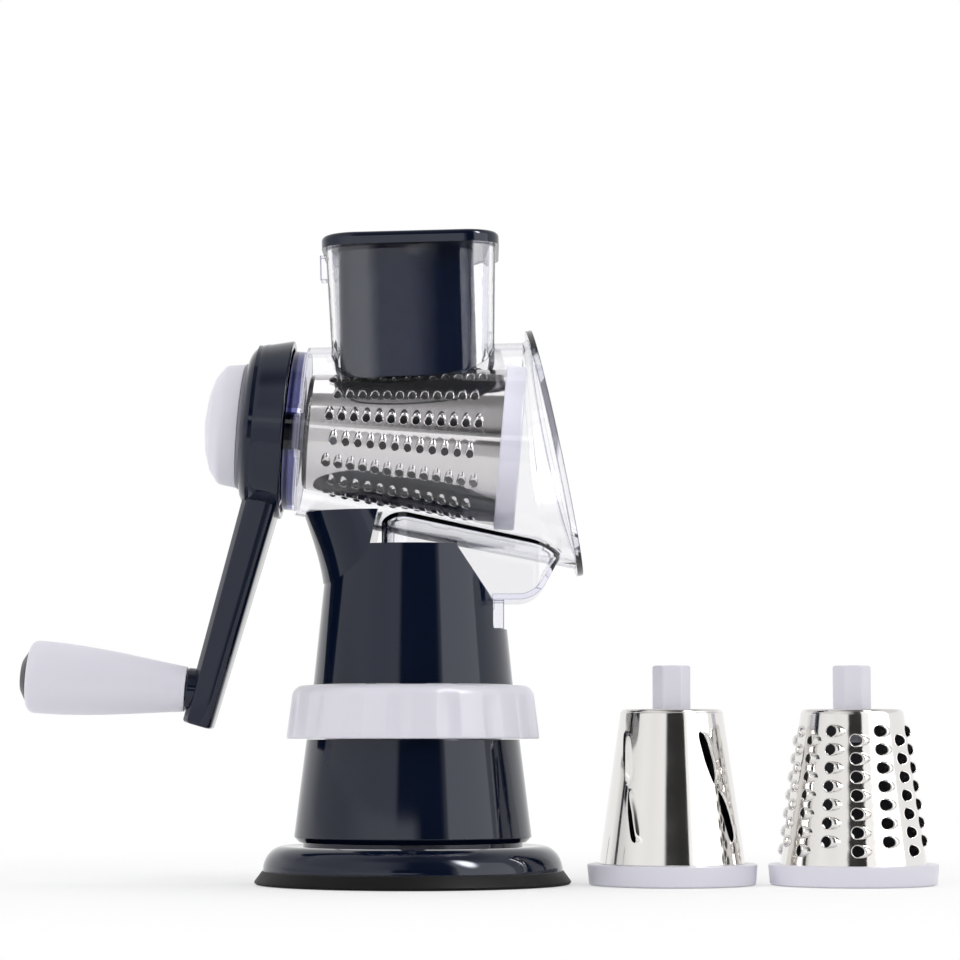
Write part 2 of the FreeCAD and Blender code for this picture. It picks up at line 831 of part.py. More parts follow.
def pusher_cap():
    top = hopper_top + cap_thickness
    plate = rounded_block(hopper_half_x + cap_overhang, hopper_half_y + cap_overhang,
                          hopper_corner + cap_overhang, hopper_top, top)
    upper_edges = [edge for edge in plate.Edges if edge.BoundBox.ZMin > top - 0.01]
    plate = plate.makeFillet(cap_round, upper_edges)
    plug_low = hopper_top - cap_plug_depth
    plug = pusher_block(pusher_wall, plug_low, hopper_top)
    plug_room = pusher_block(2 * pusher_wall, plug_low - overshoot, hopper_top)
    return in_hopper(plate.fuse(plug.cut(plug_room)).removeSplitter())


# ---- drums, made standing on their rings, hub up --------------------------------------------
def drum_surface_radius(drum, z):
    slope = (drum.large_radius - drum.small_radius) / drum.length
    return drum.large_radius - (z - drum_ring_height) * slope


def drum_shell(drum, cutters):
    low = drum_ring_height - drum_seat
    high = drum_ring_height + drum.length
    outer = frustum(drum_surface_radius(drum, low), drum.small_radius, low, high)
    below = low - overshoot
    roof = high - drum_sheet
    inner = frustum(drum_surface_radius(drum, below) - drum_sheet,
                    drum_surface_radius(drum, roof) - drum_sheet, below, roof)
    opening = hexagon(hub_corner_radius, roof - overshoot, high + overshoot)
    return cut_all(outer.cut(inner).cut(opening), cutters)


def drum_ring(drum):
    low = drum_ring_height - drum_seat
    seat_outer = drum_surface_radius(drum, low)
    body = frustum(drum_ring_radius - drum_ring_draft, drum_ring_radius, 0, drum_ring_height)
    edges = [edge for edge in body.Edges if isinstance(edge.Curve, Part.Circle)]
    body = body.makeFillet(drum_ring_round, edges)
    passage = disc(seat_outer - drum_sheet - drum_ring_web, -overshoot,
                   drum_ring_height + overshoot)
    seat = frustum(seat_outer, drum.large_radius, low, drum_ring_height)
    inner_seat = frustum(seat_outer - drum_sheet, drum.large_radius - drum_sheet, low,
                         drum_ring_height)
    return body.cut(passage).cut(seat.cut(inner_seat))


def drum_hub(drum):
    roof = drum_ring_height + drum.length - drum_sheet
    tip = drum_ring_height + drum.length + drum.hub_length
    post = hexagon(hub_corner_radius, roof, tip)
    shaped = post.common(disc(hub_circle_radius, roof, tip))
    edges = [edge for edge in shaped.Edges if edge.BoundBox.ZMin > tip - 0.01]
    shaped = shaped.makeFillet(hub_tip_round, edges)
    flange = disc(hub_flange_radius, roof - hub_flange_thickness, roof)
    core = disc(hub_bore_radius + hub_core_wall, roof - hub_core_length, roof)
    bore = disc(hub_bore_radius, roof - hub_core_length - overshoot, tip + overshoot)
    return fuse_all([shaped, flange, core]).cut(bore)


def radial_cutter(shape, z, angle_deg):
    """Turn a cutter made along +X at the origin to its place on the drum."""
    cutter = shape.copy()
    cutter.translate(vec(0, 0, z))
    cutter.rotate(vec(0, 0, 0), UP, angle_deg)
    return cutter


def hole_cutters(drum, radius, rows, pitch, margin, start_deg):
    """Round holes in staggered rows along the cone."""
    punch = Part.makeCylinder(radius, drum.large_radius, vec(drum.small_radius / 2, 0, 0),
                              vec(1, 0, 0))
    cutters = []
    for row in range(rows):
        offset = pitch / 2 if row % 2 else 0.0
        z = drum_ring_height + margin + offset
        while z < drum_ring_height + drum.length - margin:
            cutters.append(radial_cutter(punch, z, start_deg + 360.0 * row / rows))
            z += pitch
    return cutters


def slot_cutters(drum):
    """Slanted slicing slots, two in line in each row."""
    half = slot_length / 2
    blade = box(drum.small_radius / 2, drum.large_radius + overshoot,
                -slot_width / 2, slot_width / 2, -half, half)
    blade.rotate(vec(0, 0, 0), vec(1, 0, 0), slot_slant_deg)
    cutters = []
    middle = drum_ring_height + drum.length / 2
    for row in range(slot_rows):
        angle = 360.0 * row / slot_rows + slot_start_deg
        for side in (-1, 1):
            cutters.append(radial_cutter(blade, middle + side * slot_spacing / 2,
                                         angle - side * slot_stagger_deg))
    return cutters


def fitted(shape):
    """A drum piece turned over and slid into the chamber."""
    turned_over = shape.copy()
    turned_over.rotate(vec(0, 0, 0), SIDE, 180)
    turned_over.translate(vec(0, 0, drum_face_distance))
    return on_axis(turned_over)


def standing(shape, x):
    placed = shape.copy()
    placed.translate(vec(x, spare_y, 0))
    return placed


# ---- crank ---------------------------------------------------------------------------------
def arm_section(down, distance, thickness, width, lean_deg):
    """Section square to the arm, at a place below the drum axis: bevelled on its outer side."""
    outer = thickness / 2
    half = width / 2
    nip = arm_corner * (1 - math.sqrt(0.5))
    wire = outline([
        ((nip - outer, nip - half), (arm_corner - outer, -half)),
        (outer - arm_bevel, -half),
        (outer, arm_bevel - half),
        (outer, half - arm_bevel),
        (outer - arm_bevel, half),
        (arm_corner - outer, half),
        ((nip - outer, half - nip), (-outer, half - arm_corner)),
        (-outer, arm_corner - half),
    ], lambda x, y: vec(x, y, 0))
    wire.rotate(vec(0, 0, 0), SIDE, lean_deg)
    wire.translate(vec(down, 0, distance))
    return wire


def arm():
    foot_down = crank_radius + arm_foot_beyond
    lean = math.degrees(math.atan2(foot_down - arm_top_down, -arm_splay))
    return Part.makeLoft([
        arm_section(arm_top_down, arm_top_distance, arm_top_thickness, arm_top_width, lean),
        arm_section(foot_down, arm_foot_distance, arm_foot_thickness, arm_foot_width, lean),
    ], True, True)


def crank_head():
    nip = head_round * (1 - math.sqrt(0.5))
    outer_radius = head_radius - head_draft
    return turned([
        (0, head_outer),
        (outer_radius - head_round, head_outer),
        ((outer_radius - nip, head_outer + nip), (outer_radius, head_outer + head_round)),
        (head_radius, head_inner),
        (0, head_inner),
    ])


def crank_arm():
    hollow = tube(head_radius - head_wall, head_boss_radius, head_outer + head_wall,
                  head_inner + overshoot)
    boss = disc(arm_boss_radius, arm_boss_end, arm_boss_end + axle_seat, x=crank_radius)
    shell = fuse_all([crank_head().cut(hollow), arm().cut(hollow), boss])
    socket = hexagon(hub_corner_radius + socket_play, socket_end, head_inner + overshoot)
    stem_hole = disc(knob_stem_radius + running_clearance, head_outer - overshoot, head_inner)
    axle_hole = disc(axle_radius, arm_boss_end - overshoot, arm_boss_end + 2 * axle_seat,
                     x=crank_radius)
    return on_axis(cut_all(shell, [socket, stem_hole, axle_hole]))


def knob_bezel():
    return on_axis(tube(bezel_radius, knob_stem_radius + running_clearance,
                        head_outer - bezel_thickness, head_outer))


def lock_knob():
    crown = knob_face - knob_height
    side_end = (knob_radius - knob_draft, knob_face - knob_side)
    dome_start = (knob_radius - knob_shoulder, knob_face - knob_side - knob_shoulder_rise)
    return on_axis(turned([
        (0, knob_face),
        (knob_radius, knob_face),
        side_end,
        bulged(side_end, dome_start, knob_shoulder_bulge),
        bulged(dome_start, (dome_flat, crown), knob_dome_bulge),
        (0, crown),
    ]))


def knob_stem():
    return on_axis(disc(knob_stem_radius, knob_face, knob_face + knob_stem_reach))


def grip_sleeve():
    middle = (grip_start + grip_end) / 2
    middle_radius = (grip_small_radius + grip_large_radius) / 2 + grip_belly
    rim_middle = (grip_large_radius - grip_rim_round, grip_end - grip_rim + grip_rim_round)
    floor = grip_end + grip_cap_recess
    body = turned([
        (grip_bore_radius, grip_start),
        (grip_small_radius, grip_start),
        ((middle_radius, middle), (grip_large_radius, grip_end)),
        (rim_middle, (grip_cap_radius, grip_end - grip_rim)),
        (grip_cap_radius, floor),
        (grip_bore_radius, floor),
    ])
    pocket = disc(axle_head_radius + axle_head_play, grip_end,
                  floor + axle_head_thickness + 2 * axle_head_play)
    body = body.cut(pocket)
    body.translate(vec(crank_radius, 0, 0))
    return on_axis(body)


def grip_end_cap():
    rim = (grip_cap_radius, grip_end - grip_rim)
    crown = grip_end - grip_rim - grip_cap_crown
    floor = grip_end + grip_cap_recess
    body = turned([
        (0, floor),
        (grip_cap_radius, floor),
        rim,
        bulged(rim, (dome_flat, crown), grip_cap_bulge),
        (0, crown),
    ])
    body.translate(vec(crank_radius, 0, 0))
    return on_axis(body)


def grip_axle():
    """Axle with its head sunk in the sleeve's pocket, below the end cap."""
    head_low = grip_end + grip_cap_recess + axle_head_play
    head = disc(axle_head_radius, head_low, head_low + axle_head_thickness, x=crank_radius)
    rod = disc(axle_radius, head_low, arm_boss_end + axle_seat, x=crank_radius)
    return on_axis(head.fuse(rod).removeSplitter())


# ---- write every piece ---------------------------------------------------------------------
def write_parts():
    fine_holes = hole_cutters(fine, fine_hole_radius, fine_rows, fine_pitch, fine_margin,
                              fine_start_deg)
    coarse_holes = hole_cutters(spare, coarse_hole_radius, coarse_rows, coarse_pitch,
                                coarse_margin, coarse_start_deg)
    pieces = {
        "suction_pad": suction_pad(),
        "foot_ring": foot_ring(),
        "lower_tower": lower_tower(),
        "upper_tower": upper_tower(),
        "tower_screws": screws(tower_screw_circle, neck_plate),
        "foot_screws": screws(foot_screw_circle, foot_top - foot_wall),
        "twist_ring": twist_ring(),
        "plunger": plunger(),
        "cam_pin": cam_pin(),
        "return_spring": return_spring(),
        "clear_housing": clear_housing(),
        "pusher_body": pusher_body(),
        "pusher_cap": pusher_cap(),
        "fine_drum_shell": fitted(drum_shell(fine, fine_holes)),
        "fine_drum_ring": fitted(drum_ring(fine)),
        "fine_drum_hub": fitted(drum_hub(fine)),
        "slicer_drum_shell": standing(drum_shell(spare, slot_cutters(spare)), slicer_x),
        "slicer_drum_ring": standing(drum_ring(spare), slicer_x),
        "slicer_drum_hub": standing(drum_hub(spare), slicer_x),
        "coarse_drum_shell": standing(drum_shell(spare, coarse_holes), coarse_x),
        "coarse_drum_ring": standing(drum_ring(spare), coarse_x),
        "coarse_drum_hub": standing(drum_hub(spare), coarse_x),
        "crank_arm": crank_arm(),
        "knob_bezel": knob_bezel(),
        "lock_knob": lock_knob(),
        "knob_stem": knob_stem(),
        "grip_axle": grip_axle(),
        "grip_sleeve": grip_sleeve(),
        "grip_end_cap": grip_end_cap(),
    }
    os.makedirs("parts", exist_ok=True)
    for name, shape in pieces.items():
        shape.exportStep("parts/" + name + ".step")
        print(name, "solids", len(shape.Solids), "valid", shape.isValid(),
              "volume", round(shape.Volume), "faces", len(shape.Faces))


write_parts()
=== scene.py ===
import bmesh
import bpy
import json
import math
from mathutils import Matrix, Vector


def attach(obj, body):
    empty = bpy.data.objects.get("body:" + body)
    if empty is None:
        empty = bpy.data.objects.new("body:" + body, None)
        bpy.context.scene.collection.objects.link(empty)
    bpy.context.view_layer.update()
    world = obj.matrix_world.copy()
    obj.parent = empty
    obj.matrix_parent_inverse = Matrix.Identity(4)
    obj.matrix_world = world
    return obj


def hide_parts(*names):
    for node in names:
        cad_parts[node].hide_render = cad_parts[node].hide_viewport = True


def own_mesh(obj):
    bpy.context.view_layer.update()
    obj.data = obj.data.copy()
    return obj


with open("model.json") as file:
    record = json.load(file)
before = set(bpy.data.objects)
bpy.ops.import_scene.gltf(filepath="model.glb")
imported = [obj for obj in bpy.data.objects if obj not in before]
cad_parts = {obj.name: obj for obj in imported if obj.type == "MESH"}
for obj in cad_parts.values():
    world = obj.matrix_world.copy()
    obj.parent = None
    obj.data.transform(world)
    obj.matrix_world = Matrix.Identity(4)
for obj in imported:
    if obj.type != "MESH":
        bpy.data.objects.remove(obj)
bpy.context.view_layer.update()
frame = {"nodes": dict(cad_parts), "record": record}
scene = bpy.context.scene
nodes = frame["nodes"]

MM = 0.001
ROUND_SEGMENTS = 160

# ---- sizes in millimetres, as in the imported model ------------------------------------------
pad_radius = 71.5
pad_height = 6.0
pad_seat_radius = 67.5
foot_top = 17.2
foot_top_radius = 57.8
reveal_radius = 49.5
neck_inner_radius = 36.5
neck_plate = 85.8
neck_top = 89.3
stem_hole_radius = 6.06
spring_low = 74.7
spring_radius = 9.2
spring_wire = 1.4
spring_turns = 3.5
foot_bore_radius = 40.0
shell_seat_depth = 0.9
lower_base = 18.8
lower_top = 64.8
lower_base_radius = 53.5
lower_base_chamfer = 2.4
lower_top_radius = 48.1
ring_base = 65.1
ring_top = 89.0
ring_bottom_radius = 57.2
ring_top_radius = 54.8
ring_bore_radius = 40.06
ring_web_radius = 46.0
ring_hollow_radii = (51.6, 54.0)
ring_roof = 4.0
ring_round = 5.5
flute_count = 16
flute_depth = 1.5
flute_radius = 9.0
flute_start_deg = 17.5
flute_fade_depth = 1.5
flute_fade_length = 9.0

axis_height = 200.2
axis_dip_deg = 4.8
drum_face_distance = 48.9
drum_ring_radius = 38.1
drum_ring_height = 9.3
drum_ring_draft = 0.8
drum_seat = 3.0
drum_ring_web = 3.0
drum_sheet = 0.8
drum_shoulder = 1.6
thin_sheet = 0.5
hub_bore_radius = 4.2
hub_sleeve_radius = 7.2
hub_sleeve_depth = 14.0
hub_circle_radius = 8.5
hub_corner_radius = 8.8
hub_flange_radius = 20.0
hub_flange_thickness = 3.0
slicer_x = 116.3
coarse_x = 197.4
spare_y = -8.0

head_inner = -57.3
head_outer = -77.0
head_radius = 40.8
head_draft = 2.4
head_round = 9.5
head_wall = 3.2
head_face = 4.0
socket_wall_radius = 15.0
socket_radius = 9.6
socket_depth = 8.0
stem_bore_radius = 4.1
arm_top_down = 29.8
arm_foot_down = 136.9
arm_top_distance = -65.6
arm_splay = 20.5
arm_top_thickness = 16.0
arm_foot_thickness = 13.6
arm_top_width = 40.0
arm_foot_width = 25.0
arm_bevel_width = 2.4
arm_bevel_depth = 4.5
arm_face_slope = 3.2
arm_end_round = 1.5
arm_boss_end = -92.3
arm_boss_radius = 9.8
arm_boss_length = 12.0
axle_seat_radius = 4.25
bezel_thickness = 1.3
bezel_radius = 28.7
knob_radius = 28.2
knob_side = 8.7
knob_height = 17.0
knob_gap = 0.2
crank_radius = 121.0
grip_start = -92.8
grip_length = 72.0
grip_neck_radius = 10.2
grip_radius = 16.4
grip_end_round = 4.0
grip_end_run = 4.5
grip_bore_radius = 4.3
cap_seat_radius = 11.9
cap_seat_depth = 3.0

# along the drum's axis, the clear end wall next to the crank head is painted dark as shade between
# these distances
rim_shade_start = -53.5
rim_shade_full = -54.5


# ---- frames --------------------------------------------------------------------------------
def turned_frame(origin, turn_deg):
    """Frame turned about Y at an origin in millimetres; shapes in it are in metres."""
    return Matrix.Translation(Vector(origin) * MM) @ Matrix.Rotation(math.radians(turn_deg), 4, "Y")


AXIS = turned_frame((0, 0, axis_height), 90 + axis_dip_deg)
WORLD = Matrix.Identity(4)


def standing_frame(x):
    return Matrix.Translation(Vector((x, spare_y, 0)) * MM)


DRUM_FACE = AXIS @ Matrix.Translation(Vector((0, 0, drum_face_distance * MM)))
FITTED = DRUM_FACE @ Matrix.Rotation(math.pi, 4, "Y")
GRIP = AXIS @ Matrix.Translation(Vector((crank_radius * MM, 0, 0)))


# ---- mesh helpers --------------------------------------------------------------------------
def finish_mesh(name, bm, placing, body, material, stands_for=(), sharp_deg=32.0):
    """Turn a bmesh in metres into a piece that rides on a body."""
    bmesh.ops.recalc_face_normals(bm, faces=bm.faces)
    bm.transform(placing)
    for edge in bm.edges:
        if len(edge.link_faces) == 2:
            edge.smooth = edge.calc_face_angle(0.0) < math.radians(sharp_deg)
    for face in bm.faces:
        face.smooth = True
    mesh = bpy.data.meshes.new(name)
    bm.to_mesh(mesh)
    bm.free()
    piece = bpy.data.objects.new(name, mesh)
    scene.collection.objects.link(piece)
    mesh.materials.append(material)
    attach(piece, body)
    if stands_for:
        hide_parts(*stands_for)
    return piece


def rounded_profile(corners, steps=6):
    """Closed outline of (a, b, round) corners in millimetres, with each round as an arc."""
    points = []
    count = len(corners)
    for index, corner in enumerate(corners):
        here = Vector(corner[:2])
        before = Vector(corners[index - 1][:2]) - here
        after = Vector(corners[(index + 1) % count][:2]) - here
        radius = corner[2] if len(corner) > 2 else 0.0
        if radius <= 0.0:
            points.append(here)
            continue
        half = before.angle(after) / 2
        reach = min(radius / math.tan(half), before.length * 0.48, after.length * 0.48)
        start = here + before.normalized() * reach
        end = here + after.normalized() * reach
        for step in range(steps + 1):
            share = step / steps
            points.append(start.lerp(here, share).lerp(here.lerp(end, share), share))
    return points


def lathe_mesh(profile, segments=ROUND_SEGMENTS, radius_at=None):
    """Surface of revolution about Z from closed (radius, height) points in millimetres."""
    bm = bmesh.new()
    rings = []
    for radius, height in profile:
        if radius < 1e-6:
            rings.append([bm.verts.new((0, 0, height * MM))])
            continue
        ring = []
        for index in range(segments):
            angle = 2 * math.pi * index / segments
            reach = radius_at(radius, height, angle) if radius_at else radius
            ring.append(bm.verts.new((reach * MM * math.cos(angle), reach * MM * math.sin(angle),
                                      height * MM)))
        rings.append(ring)
    for index, ring in enumerate(rings):
        other = rings[index - 1]
        if len(ring) == 1 and len(other) == 1:
            continue
        for step in range(segments):
            after = (step + 1) % segments
            if len(ring) == 1:
                bm.faces.new((other[step], other[after], ring[0]))
            elif len(other) == 1:
                bm.faces.new((other[0], ring[after], ring[step]))
            else:
                bm.faces.new((other[step], other[after], ring[after], ring[step]))
    return bm


def lathe(name, corners, placing, body, material, stands_for=(), segments=ROUND_SEGMENTS,
          radius_at=None, steps=6):
    bm = lathe_mesh(rounded_profile(corners, steps), segments, radius_at)
    return finish_mesh(name, bm, placing, body, material, stands_for)


# ---- materials -----------------------------------------------------------------------------
def shader(name, slot, colour, roughness, metallic=0.0, bump_scale=0.0, bump_height=0.0,
           tone=0.0, tone_scale=20.0, wear=0.0, specular=0.5, specular_tint=(1, 1, 1)):
    """Principled material with a fine bump, an uneven roughness and a slight change of tone."""
    material = bpy.data.materials.new(name)
    material.use_nodes = True
    material["slot"] = slot
    tree = material.node_tree
    bsdf = tree.nodes["Principled BSDF"]
    bsdf.inputs["Metallic"].default_value = metallic
    bsdf.inputs["Specular IOR Level"].default_value = specular
    bsdf.inputs["Specular Tint"].default_value = (*specular_tint, 1)
    place = tree.nodes.new("ShaderNodeTexCoord")
    blotch = tree.nodes.new("ShaderNodeTexNoise")
    blotch.inputs["Scale"].default_value = tone_scale
    blotch.inputs["Detail"].default_value = 5.0
    tree.links.new(place.outputs["Object"], blotch.inputs["Vector"])
    mix = tree.nodes.new("ShaderNodeMix")
    mix.data_type = "RGBA"
    mix.inputs["A"].default_value = (*[c * (1 - tone) for c in colour], 1)
    mix.inputs["B"].default_value = (*[min(1, c * (1 + tone)) for c in colour], 1)
    tree.links.new(blotch.outputs["Fac"], mix.inputs["Factor"])
    tree.links.new(mix.outputs["Result"], bsdf.inputs["Base Color"])
    span = tree.nodes.new("ShaderNodeMapRange")
    span.inputs["From Min"].default_value = 0.2
    span.inputs["From Max"].default_value = 0.8
    span.inputs["To Min"].default_value = roughness * (1 - wear)
    span.inputs["To Max"].default_value = roughness * (1 + wear)
    smudge = tree.nodes.new("ShaderNodeTexNoise")
    smudge.inputs["Scale"].default_value = 60.0
    smudge.inputs["Detail"].default_value = 3.0
    tree.links.new(place.outputs["Object"], smudge.inputs["Vector"])
    tree.links.new(smudge.outputs["Fac"], span.inputs["Value"])
    tree.links.new(span.outputs["Result"], bsdf.inputs["Roughness"])
    if bump_height > 0:
        grain = tree.nodes.new("ShaderNodeTexNoise")
        grain.inputs["Scale"].default_value = bump_scale
        grain.inputs["Detail"].default_value = 4.0
        bump = tree.nodes.new("ShaderNodeBump")
        bump.inputs["Strength"].default_value = 1.0
        bump.inputs["Distance"].default_value = bump_height * MM
        tree.links.new(place.outputs["Object"], grain.inputs["Vector"])
        tree.links.new(grain.outputs["Fac"], bump.inputs["Height"])
        tree.links.new(bump.outputs["Normal"], bsdf.inputs["Normal"])
    return material


def clear_shader():
    """Clear polished plastic, painted violet blue as shade at its edges and painted dark as shade
    along the rim of its end wall.
    """
    material = bpy.data.materials.new("clear_moulding")
    material.use_nodes = True
    material["slot"] = "clear_plastic"
    tree = material.node_tree
    bsdf = tree.nodes["Principled BSDF"]
    bsdf.inputs["Roughness"].default_value = 0.012
    bsdf.inputs["IOR"].default_value = 1.46
    bsdf.inputs["Transmission Weight"].default_value = 1.0
    # painted shade: the colour turns dark violet blue where the surface is seen edge-on
    facing = tree.nodes.new("ShaderNodeLayerWeight")
    facing.inputs["Blend"].default_value = 0.5
    ramp = tree.nodes.new("ShaderNodeValToRGB")
    low, high = ramp.color_ramp.elements
    low.position, low.color = 0.76, (0.99, 0.99, 0.995, 1)
    high.position, high.color = 0.975, (0.11, 0.09, 0.40, 1)
    tree.links.new(facing.outputs["Facing"], ramp.inputs["Fac"])
    place = tree.nodes.new("ShaderNodeTexCoord")
    along = tree.nodes.new("ShaderNodeVectorMath")
    along.operation = "DOT_PRODUCT"
    along.inputs[1].default_value = AXIS.to_3x3().col[2]
    # painted shade: near the crank head the end wall's colour turns almost black
    behind = tree.nodes.new("ShaderNodeMapRange")
    origin = AXIS.translation.dot(AXIS.to_3x3().col[2])
    behind.inputs["From Min"].default_value = origin + rim_shade_start * MM
    behind.inputs["From Max"].default_value = origin + rim_shade_full * MM
    rim = tree.nodes.new("ShaderNodeMix")
    rim.data_type = "RGBA"
    rim.inputs["B"].default_value = (0.010, 0.011, 0.05, 1)
    tree.links.new(place.outputs["Object"], along.inputs[0])
    tree.links.new(along.outputs["Value"], behind.inputs["Value"])
    tree.links.new(behind.outputs["Result"], rim.inputs["Factor"])
    # painted shade: a dark line along every edge and crease, found from the rounded normal
    rounded = tree.nodes.new("ShaderNodeBevel")
    rounded.samples = 6
    rounded.inputs["Radius"].default_value = 0.7 * MM
    surface = tree.nodes.new("ShaderNodeNewGeometry")
    turning = tree.nodes.new("ShaderNodeVectorMath")
    turning.operation = "DOT_PRODUCT"
    edge = tree.nodes.new("ShaderNodeMapRange")
    edge.inputs["From Min"].default_value = 0.995
    edge.inputs["From Max"].default_value = 0.88
    outline = tree.nodes.new("ShaderNodeMix")
    outline.data_type = "RGBA"
    outline.inputs["B"].default_value = (0.02, 0.018, 0.075, 1)
    tree.links.new(surface.outputs["Normal"], turning.inputs[0])
    tree.links.new(rounded.outputs["Normal"], turning.inputs[1])
    tree.links.new(turning.outputs["Value"], edge.inputs["Value"])
    tree.links.new(edge.outputs["Result"], outline.inputs["Factor"])
    tree.links.new(ramp.outputs["Color"], outline.inputs["A"])
    tree.links.new(outline.outputs["Result"], rim.inputs["A"])
    tree.links.new(rim.outputs["Result"], bsdf.inputs["Base Color"])
    output = tree.nodes["Material Output"]
    rays = tree.nodes.new("ShaderNodeLightPath")
    through = tree.nodes.new("ShaderNodeBsdfTransparent")
    through.inputs["Color"].default_value = (0.93, 0.93, 0.97, 1)
    mix = tree.nodes.new("ShaderNodeMixShader")
    tree.links.new(rays.outputs["Is Shadow Ray"], mix.inputs["Fac"])
    tree.links.new(bsdf.outputs["BSDF"], mix.inputs[1])
    tree.links.new(through.outputs["BSDF"], mix.inputs[2])
    tree.links.new(mix.outputs["Shader"], output.inputs["Surface"])
    tint = tree.nodes.new("ShaderNodeVolumeAbsorption")
    tint.inputs["Color"].default_value = (0.22, 0.18, 0.72, 1)
    tint.inputs["Density"].default_value = 4.0
    tree.links.new(tint.outputs["Volume"], output.inputs["Volume"])
    return material


navy = shader("navy_gloss", "navy_plastic", (0.0026, 0.0058, 0.018), 0.08,
              bump_scale=900, bump_height=0.004, tone=0.05, wear=0.3, specular_tint=(0.88, 0.9, 1.0))
white = shader("lavender_white", "white_plastic", (0.74, 0.73, 0.81), 0.32,
               bump_scale=1400, bump_height=0.004, tone=0.01, wear=0.06)
rubber = shader("black_rubber", "black_rubber", (0.006, 0.006, 0.0065), 0.5,
                bump_scale=2500, bump_height=0.03, tone=0.1, wear=0.15, specular=0.15)
steel = shader("drum_steel", "drum_steel", (0.80, 0.78, 0.76), 0.09, metallic=1.0,
               bump_scale=500, bump_height=0.004, tone=0.02, wear=0.35)
# painted shade: a darker copy of the drum steel for the drum fitted in the clear housing
shaded_fine_steel = shader("fine_drum_steel_shaded", "drum_steel", (0.66, 0.64, 0.64), 0.09, metallic=1.0,
                    bump_scale=500, bump_height=0.004, tone=0.02, wear=0.35)
# painted shade: the drums' inner steel is a dark copy of the drum steel, for the shade inside them
shaded_steel_inside = shader("drum_inside_shade", "drum_steel", (0.07, 0.07, 0.075), 0.4, metallic=1.0,
                      bump_scale=500, bump_height=0.01, tone=0.05, wear=0.2)
plain_steel = shader("screw_steel", "screw_steel", (0.58, 0.58, 0.60), 0.34, metallic=1.0,
                     bump_scale=2000, bump_height=0.01, tone=0.04, wear=0.15)
grey = shader("bezel_grey", "grey_plastic", (0.26, 0.26, 0.30), 0.35,
              bump_scale=1500, bump_height=0.01, tone=0.05, wear=0.2)
dark = shader("cap_dark", "dark_plastic", (0.016, 0.018, 0.028), 0.34,
              bump_scale=1500, bump_height=0.01, tone=0.05, wear=0.15)
clear = clear_shader()


# ---- carried-over CAD nodes ----------------------------------------------------------------
slot_material = {
    "navy_plastic": navy, "white_plastic": white, "black_rubber": rubber, "drum_steel": steel,
    "screw_steel": plain_steel, "grey_plastic": grey, "dark_plastic": dark, "clear_plastic": clear,
}
for part in frame["record"]["subparts"]:
    mesh = nodes[part["node"]].data
    mesh.materials.clear()
    mesh.materials.append(slot_material[part["material_slot"]])


# ---- suction base --------------------------------------------------------------------------
lathe("rubber_pad", [
    (0, 0), (pad_radius - 1.2, 0, 0.8), (pad_radius, 1.0, 0.8),
    (pad_seat_radius + 0.3, pad_height, 0.6), (0, pad_height),
], WORLD, "stand", rubber, ("suction_pad",))

dome_run = pad_seat_radius - foot_top_radius
dome_rise = foot_top - pad_height
dome = [(pad_seat_radius, pad_height, 0.4)]
for step in range(1, 12):
    angle = math.radians(90 * step / 12)
    dome.append((foot_top_radius + dome_run * math.cos(angle),
                 pad_height + dome_rise * math.sin(angle)))
dome += [(foot_top_radius, foot_top, 1.2), (foot_bore_radius, foot_top - 1.2),
         (foot_bore_radius, pad_height)]
lathe("foot_dome", dome, WORLD, "stand", navy, ("foot_ring",))

shell_seat = foot_top - shell_seat_depth
lathe("lower_shell", [
    (foot_bore_radius, shell_seat), (reveal_radius, shell_seat), (reveal_radius, lower_base),
    (lower_base_radius - lower_base_chamfer, lower_base, 0.5),
    (lower_base_radius, lower_base + lower_base_chamfer, 0.7),
    (lower_top_radius, lower_top, 0.4), (foot_bore_radius, lower_top), (foot_bore_radius, neck_top),
    (stem_hole_radius, neck_top), (stem_hole_radius, neck_plate), (neck_inner_radius, neck_plate),
    (neck_inner_radius, shell_seat),
], WORLD, "stand", navy, ("lower_tower",))


def coil(name, radius, wire, low, high, turns, body, material, node):
    """Helical spring of round wire about Z between two heights."""
    bm = bmesh.new()
    count, sides = int(turns * 40), 10
    rings = []
    for step in range(count + 1):
        angle = 2 * math.pi * turns * step / count
        z = low + wire / 2 + (high - low - wire) * step / count
        ring = []
        for side in range(sides):
            around = 2 * math.pi * side / sides
            reach = radius + wire / 2 * math.cos(around)
            ring.append(bm.verts.new(Vector((reach * math.cos(angle), reach * math.sin(angle),
                                             z + wire / 2 * math.sin(around))) * MM))
        rings.append(ring)
    for ring, other in zip(rings, rings[1:]):
        for side in range(sides):
            after = (side + 1) % sides
            bm.faces.new((ring[side], ring[after], other[after], other[side]))
    bm.faces.new(rings[0])
    bm.faces.new(rings[-1])
    return finish_mesh(name, bm, WORLD, body, material, (node,))


spring = coil("spring_coil", spring_radius, spring_wire, spring_low, neck_plate, spring_turns,
              "stand", plain_steel, "return_spring")
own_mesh(spring)


# ---- twist ring ----------------------------------------------------------------------------
def fluted(radius, height, angle):
    """Radius of the ring's side with shallow flutes that fade towards its rounded top."""
    if radius < ring_top_radius - ring_round:
        return radius
    pitch = 360.0 / flute_count
    offset = (math.degrees(angle) - flute_start_deg + pitch / 2) % pitch - pitch / 2
    across = math.radians(offset) * radius
    sunk = math.sqrt(max(flute_radius ** 2 - across ** 2, 0.0)) - (flute_radius - flute_depth)
    soft = (sunk + math.sqrt(sunk * sunk + 0.1)) / 2
    fade = min(1.0, max(0.0, (ring_top - flute_fade_depth - height) / flute_fade_length))
    return radius - soft * fade


